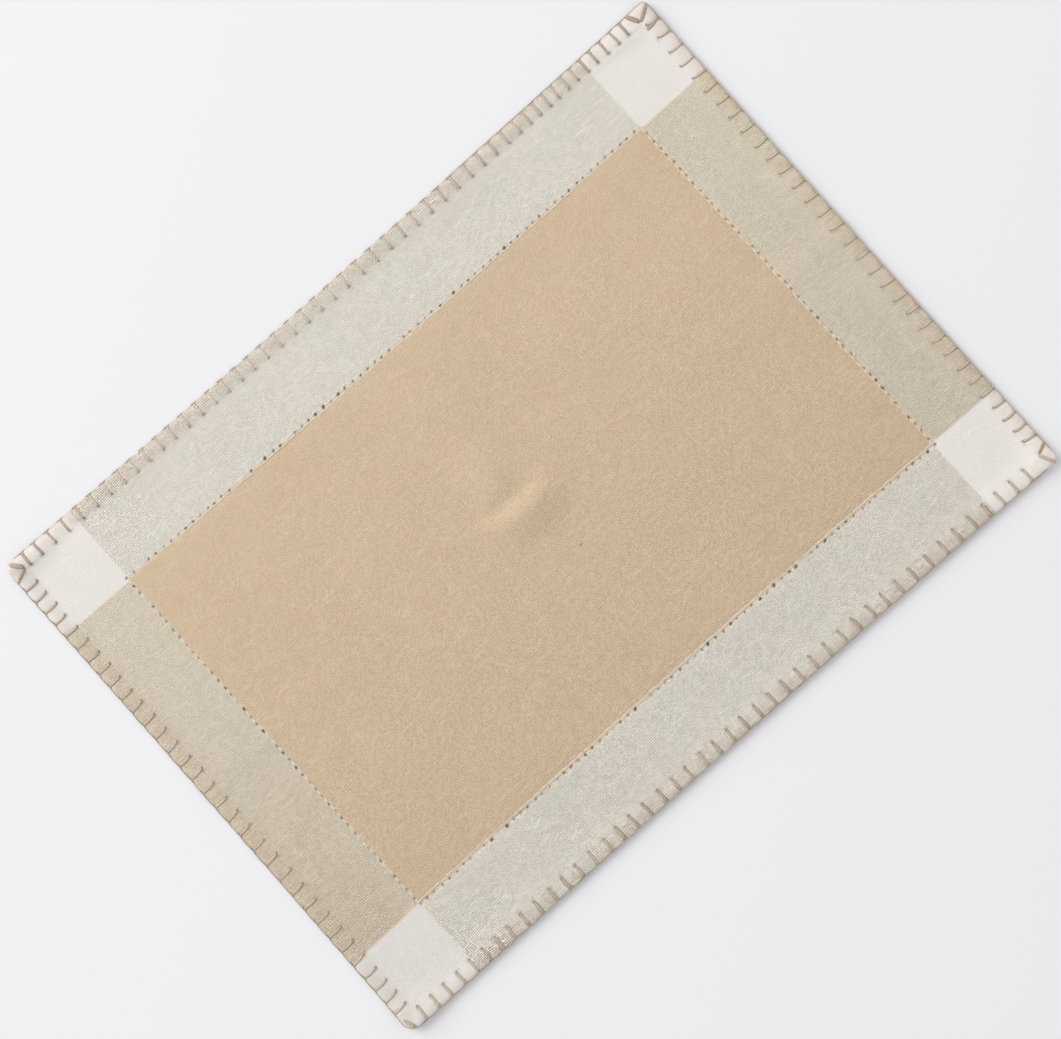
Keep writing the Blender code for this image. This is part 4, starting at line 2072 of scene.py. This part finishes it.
@dataclass
class BlanketStitching:
    """The blanket stitch round the hem: legs over both faces, and the purl along the edge.

    Each point of leg_points is the share of the leg's reach, how much it follows the hook, its
    width, thickness, drop and shade. Each of below_points is the share of the reach and the
    width, and each of corner_points the share of the way inwards, width, thickness and drop.
    """

    lie: Lie
    hem: Hem
    finish: YarnFinish
    yarn_thick: float = 0.95
    purl_width: float = 0.7
    purl_thick: float = 0.75
    purl_inset: float = 0.45
    purl_height: float = 0.88
    bedded: float = 0.42
    under_width: float = 1.7
    under_thick: float = 0.85
    under_height: float = 0.48
    corner_under_width: float = 1.6
    corner_under_thick: float = 0.8
    corner_gap: float = 9.0
    corner_steps: int = 6
    corner_slim: float = 0.85
    corner_shade: float = 0.2
    last_gap: float = 2.0
    tuck_inset: float = 1.2
    tuck_drop: float = 0.55
    corner_tone: float = 0.6
    hidden_inset: float = 1.3
    hidden_height: float = 0.6
    leg_points: tuple[tuple[float, ...], ...] = (
        (1.05, 1.0, 0.6, 0.5, -0.55, 0.85),
        (0.98, 0.85, 0.8, 0.8, -0.12, 0.55),
        (0.90, 0.35, 0.9, 1.0, 0.0, 0.12),
        (0.66, 0.1, 1.0, 1.0, 0.0, 0.0),
        (0.46, 0.0, 1.0, 1.0, 0.0, 0.0),
        (0.28, 0.0, 1.0, 1.0, 0.0, 0.0),
        (0.15, 0.0, 0.9, 1.0, 0.0, 0.12),
    )
    below_points: tuple[tuple[float, ...], ...] = (
        (0.1, 0.8), (0.3, 1.0), (0.62, 1.0), (0.9, 0.9), (1.0, 0.5),
    )
    corner_points: tuple[tuple[float, ...], ...] = (
        (1.06, 0.5, 0.5, -0.7), (0.96, 0.8, 0.8, -0.15), (0.8, 0.95, 1.0, 0.0),
        (0.6, 1.0, 1.0, 0.0), (0.4, 1.0, 1.0, 0.0), (0.2, 0.95, 1.0, 0.0),
        (0.06, 0.8, 1.0, 0.0), (-0.04, 0.6, 0.9, -0.4),
    )

    def build(self) -> bpy.types.Object:
        """Sew every edge and corner.

        Returns:
            The finished piece.
        """
        strands = Strands(self.lie)
        for side, stitches in enumerate(self.hem.stitches):
            for stitch in stitches:
                self.sew(strands, side, stitch)
            self.sew_corner(strands, side)
        return made_piece("blanket_stitch", strands.mesh, self.finish.material())

    def leg_height(self, inset: float) -> float:
        """Height of the yarn's middle where a leg lies on the hem."""
        return self.hem.pressed_top(inset) + self.bedded

    def sew(self, strands: Strands, side: int, stitch: Stitch) -> None:
        """Sew one stitch: its leg on the face, its purl to the next stitch, and its leg below.

        Args:
            strands: Where it is laid.
            side: The edge.
            stitch: The stitch.
        """
        plan = self.hem.plans[side]
        width = plan.leg_width * (0.9 + 0.2 * stitch.tone)
        pale = plan.pale(stitch.along)
        spots = []
        for share, hooked, wide, thick, drop, shade in self.leg_points:
            inset = max(stitch.reach * share, 1.1)
            along = stitch.along + stitch.lean * share - plan.hook * hooked
            s, t = plan.flat(along, inset)
            height = self.leg_height(inset) * (1 + self.hem.bulk(s, t)) + drop - plan.sunk
            paler = min(pale + plan.worn_end * max(share - 0.25, 0.0), 1.0)
            darker = shade + plan.soil
            spots.append(Spot(s, t, height, width * wide, self.yarn_thick * thick, darker, paler,
                              plan.lee))
        spots += self.purl(plan, stitch)
        strands.lay(spots, stitch.tone)
        self.sew_below(strands, plan, stitch)

    def purl(self, plan: EdgePlan, stitch: Stitch) -> list[Spot]:
        """The yarn from a leg's foot along the edge to the next leg.

        Args:
            plan: The edge.
            stitch: The stitch it starts from.

        Returns:
            The points that it follows.
        """
        made = []
        gap = stitch.gap or self.last_gap
        # Share of the way to the next stitch, how far it swells outwards, its rise, and how much
        # of the edge's tuck it has. The yarn shows as far as shown before it slips under.
        shown = 0.10 + 0.14 * stitch.tone
        for share, swell, rise, tuck in (
            (0.04, 0.0, 0.2, 0.0), (shown, 0.3, 0.0, 0.05), (shown + 0.16, 0.8, -0.12, 1.0),
            (0.62, 0.9, -0.12, 1.0), (0.84, 0.4, 0.0, 0.15), (1.0, -0.3, 0.05, 0.0),
        ):
            tucked = plan.tuck(stitch.along) * tuck
            inset = self.purl_inset - plan.bulge * swell * stitch.puff + tucked * self.tuck_inset
            s, t = plan.flat(stitch.along + share * gap, inset)
            height = self.purl_height + rise - tucked * self.tuck_drop
            made.append(Spot(s, t, height, self.purl_width, self.purl_thick, plan.dim,
                             plan.edge_pale))
        return made

    def sew_below(self, strands: Strands, plan: EdgePlan, stitch: Stitch) -> None:
        """Lay a stitch's leg on the underside.

        Args:
            strands: Where it is laid.
            plan: The edge.
            stitch: The stitch.
        """
        spots = []
        for share, wide in self.below_points:
            inset = max(stitch.reach * share, 1.0)
            s, t = plan.flat(stitch.along + stitch.lean * share, inset)
            spots.append(Spot(s, t, self.under_height, self.under_width * wide,
                              self.under_thick))
        strands.lay(spots, stitch.tone)

    def sew_corner(self, strands: Strands, side: int) -> None:
        """Sew the corner that ends an edge: its own legs, and the purl round it.

        Args:
            strands: Where it is laid.
            side: The edge.
        """
        corner, plan = self.hem.corners[side], self.hem.plans[side]
        for number, leg in enumerate(corner.legs):
            outer, inner = self.hem.leg_ends(side, leg)
            spots, below = [], []
            for share, wide, thick, drop in self.corner_points:
                place = outer.lerp(inner, share)
                inset = self.inset_of(place)
                thicker = 1 + self.hem.bulk(place.x, place.y)
                height = self.leg_height(inset) * thicker + drop
                spots.append(Spot(place.x, place.y, height, leg.width * wide,
                                  self.yarn_thick * thick, leg.shade))
                below.append(Spot(place.x, place.y, self.under_height,
                                  self.corner_under_width * wide, self.corner_under_thick))
            strands.lay(spots, 0.35 + 0.3 * number)
            strands.lay(below, 0.4)
        self.purl_round(strands, side, corner, plan)

    def inset_of(self, place: Vector) -> float:
        """How far a flat place is from the nearer edge."""
        across = self.hem.stitching.half_length - abs(place.x)
        return max(1.0, min(across, self.hem.stitching.half_width - abs(place.y)))

    def purl_round(self, strands: Strands, side: int, corner: CornerPlan, plan: EdgePlan) -> None:
        """Lay the purl from an edge's last stitch round the corner to the next edge's first.

        Args:
            strands: Where it is laid.
            side: The edge.
            corner: The corner that ends it.
            plan: The edge's plan.
        """
        after = (side + 1) % len(self.hem.plans)
        last, first = self.hem.stitches[side][-1], self.hem.stitches[after][0]
        inset = self.purl_inset if corner.purl_shows else self.hidden_inset
        height = self.purl_height if corner.purl_shows else self.hidden_height
        run = plan.half_run - self.corner_gap - last.along
        places = [plan.flat(last.along + self.last_gap + run * i / 3, self.purl_inset)
                  for i in range(3)]
        for step in range(self.corner_steps + 1):
            angle = math.pi / 2 * step / self.corner_steps
            places.append(self.hem.corner_flat(plan, corner.radius, inset, angle))
        onward = self.hem.plans[after]
        start = -onward.half_run + self.corner_gap
        places += [onward.flat(start + (first.along - start) * i / 2, self.purl_inset)
                   for i in range(3)]
        width, thick = self.purl_width * self.corner_slim, self.purl_thick * self.corner_slim
        spots = [Spot(s, t, height, width, thick, self.corner_shade) for s, t in places]
        strands.lay(spots, self.corner_tone)


@dataclass
class HemstitchThread:
    """The cream thread wrapped round each bundle between two holes of the drawn-thread rows.

    Each of wrap_points is the share of the way along a wrap, from -1 to 1, and the share of the
    way from the bottom to the top.
    """

    lie: Lie
    drawn: DrawnRows
    finish: YarnFinish
    top: float = 1.06
    bottom: float = 0.42
    width: float = 0.9
    thick: float = 0.3
    front_row_shift: float = 1.7
    back_row_shift: float = -0.9
    left_row_fill: float = 0.4
    right_row_fill: float = 0.5
    right_row_shift: float = -0.6
    right_row_width: float = 0.8
    back_row_width: float = 0.72
    long_row_pale: float = 0.3
    short_row_pale: float = 0.7
    slip: float = 0.25
    lean: float = 0.3
    slack: float = 0.1
    seed: int = 53
    wrap_points: tuple[tuple[float, float], ...] = (
        (-0.95, 0.75), (-0.6, 1.0), (0.0, 1.06), (0.6, 1.0), (0.95, 0.75),
        (0.95, 0.2), (0.5, 0.0), (-0.5, 0.0), (-0.95, 0.2),
    )

    def build(self) -> bpy.types.Object:
        """Wrap every bundle of the four rows.

        Returns:
            The finished piece.
        """
        strands = Strands(self.lie, around=5)
        chance = random.Random(self.seed)
        columns = [s for s in self.drawn.columns() if abs(s) <= self.lie.row_s + self.slack][::2]
        rows = [t for t in self.drawn.rows() if abs(t) <= self.lie.row_t + self.slack][::2]
        for side in (-1, 1):
            t = side * self.lie.row_t + (self.back_row_shift if side > 0 else self.front_row_shift)
            width = self.back_row_width if side > 0 else self.width
            for low, high in zip(columns, columns[1:]):
                self.wrap(strands, chance, (low, t), (high, t), 1.0, width,
                          self.long_row_pale)
            s = side * self.lie.row_s + (self.right_row_shift if side > 0 else 0.0)
            fill = self.right_row_fill if side > 0 else self.left_row_fill
            width = self.right_row_width if side > 0 else self.width
            for low, high in zip(rows, rows[1:]):
                self.wrap(strands, chance, (s, low), (s, high), fill, width,
                          self.short_row_pale)
        return made_piece("hemstitch_thread", strands.mesh, self.finish.material())

    def wrap(
        self,
        strands: Strands,
        chance: random.Random,
        start: tuple[float, float],
        end: tuple[float, float],
        fill: float,
        width: float,
        pale: float,
    ) -> None:
        """Wrap the thread once round the bundle between two holes.

        Args:
            strands: Where it is laid.
            chance: What makes each wrap its own.
            start: The flat place of the first hole.
            end: The flat place of the second hole.
            fill: How much of the way between the holes it covers.
            width: The thread's width.
            pale: How pale it has gone.
        """
        low, high = Vector(start), Vector(end)
        middle, run = (low + high) / 2, (high - low) / 2 * fill
        slip = run.orthogonal().normalized() * chance.uniform(-self.slip, self.slip)
        lean = run.orthogonal().normalized() * chance.uniform(-self.lean, self.lean)
        spots = []
        for share, level in self.wrap_points:
            place = middle + run * share + slip + lean * share
            height = self.bottom + (self.top - self.bottom) * level
            spots.append(Spot(place.x, place.y, height, width, self.thick, 0.0, pale))
        level_way = Vector((-run.y, run.x, 0.0)).normalized()
        strands.lay(spots, chance.random(), level=level_way, ring=True)


# ---- Studio ----


@dataclass
class Studio:
    """The pale floor, soft light and camera."""

    floor_half: float = 3000.0
    lens: float = 85.0
    sensor: float = 36.0
    view_width: float = 569.46
    view_turn: float = -41.55
    view_centre: tuple[float, float] = (-1.397, -2.189)
    face_height: float = 1.5
    sky: Colour = (0.97, 0.965, 1.0, 1)
    sky_strength: float = 0.69
    key_place: tuple[float, float, float] = (-1880.0, 3690.0, 2800.0)
    key_size: float = 3640.0
    key_watts: float = 158.0

    def build(self) -> None:
        """Make the floor, the light and the camera."""
        self.make_floor()
        self.make_light()
        self.make_camera()

    def make_floor(self) -> None:
        """Lay a wide pale floor at the table's height."""
        mesh = bmesh.new()
        bmesh.ops.create_grid(mesh, x_segments=1, y_segments=1, size=self.floor_half)
        floor = made_piece("floor", mesh, FloorFinish().material())

    def make_light(self) -> None:
        """Hang one large soft light over the back edge, and light the rest evenly."""
        world = bpy.data.worlds.new("studio")
        world.use_nodes = True
        background = world.node_tree.nodes["Background"]
        background.inputs["Color"].default_value = self.sky
        background.inputs["Strength"].default_value = self.sky_strength
        bpy.context.scene.world = world
        bpy.context.scene.view_settings.view_transform = "Standard"
        lamp = bpy.data.lights.new("key", "AREA")
        lamp.shape = "SQUARE"
        lamp.size = self.key_size * METRES
        lamp.energy = self.key_watts
        key = bpy.data.objects.new("key", lamp)
        key.location = Vector(self.key_place) * METRES
        key.rotation_euler = (-Vector(self.key_place)).to_track_quat("-Z", "Y").to_euler()
        bpy.context.scene.collection.objects.link(key)

    def make_camera(self) -> None:
        """Look straight down on the mat, turned as in the photograph."""
        data = bpy.data.cameras.new("camera")
        data.lens = self.lens
        data.sensor_width = self.sensor
        camera = bpy.data.objects.new("camera", data)
        distance = self.lens / self.sensor * self.view_width + self.face_height
        camera.location = Vector((*self.view_centre, distance)) * METRES
        camera.rotation_euler = (0.0, 0.0, math.radians(self.view_turn))
        bpy.context.scene.collection.objects.link(camera)
        bpy.context.scene.camera = camera


def report(pieces: Iterable[bpy.types.Object]) -> None:
    """Report each piece and its size.

    Args:
        pieces: The pieces.
    """
    for piece in pieces:
        triangles = sum(len(face.vertices) - 2 for face in piece.data.polygons)
        log.info("%s: %d triangles", piece.name, triangles)


def main() -> None:
    """Build the mat and its studio in order."""
    logging.basicConfig(level=logging.INFO, format="%(name)s: %(message)s")
    lie = Lie()
    hem = Hem(StitchPlan())
    drawn = DrawnRows(lie)
    cloth = Cloth(lie, hem, drawn, WovenFinish()).build()
    yarn_finish = YarnFinish("hem_yarn", (0.60, 0.492, 0.39, 1), (0.44, 0.338, 0.255, 1),
                             (0.74, 0.65, 0.52, 1), 2.3, 0.3)
    thread_finish = YarnFinish("pale_thread", (0.86, 0.76, 0.60, 1), (0.79, 0.68, 0.52, 1),
                               (0.88, 0.83, 0.72, 1), 1.2, 0.1)
    yarn = BlanketStitching(lie, hem, yarn_finish).build()
    thread = HemstitchThread(lie, drawn, thread_finish).build()

    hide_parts("mat")
    for piece, slot in ((cloth, "cloth"), (yarn, "yarn"), (thread, "yarn")):
        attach(piece, "root")
    Studio().build()
    report((cloth, yarn, thread))


if __name__ == "__main__":
    main()
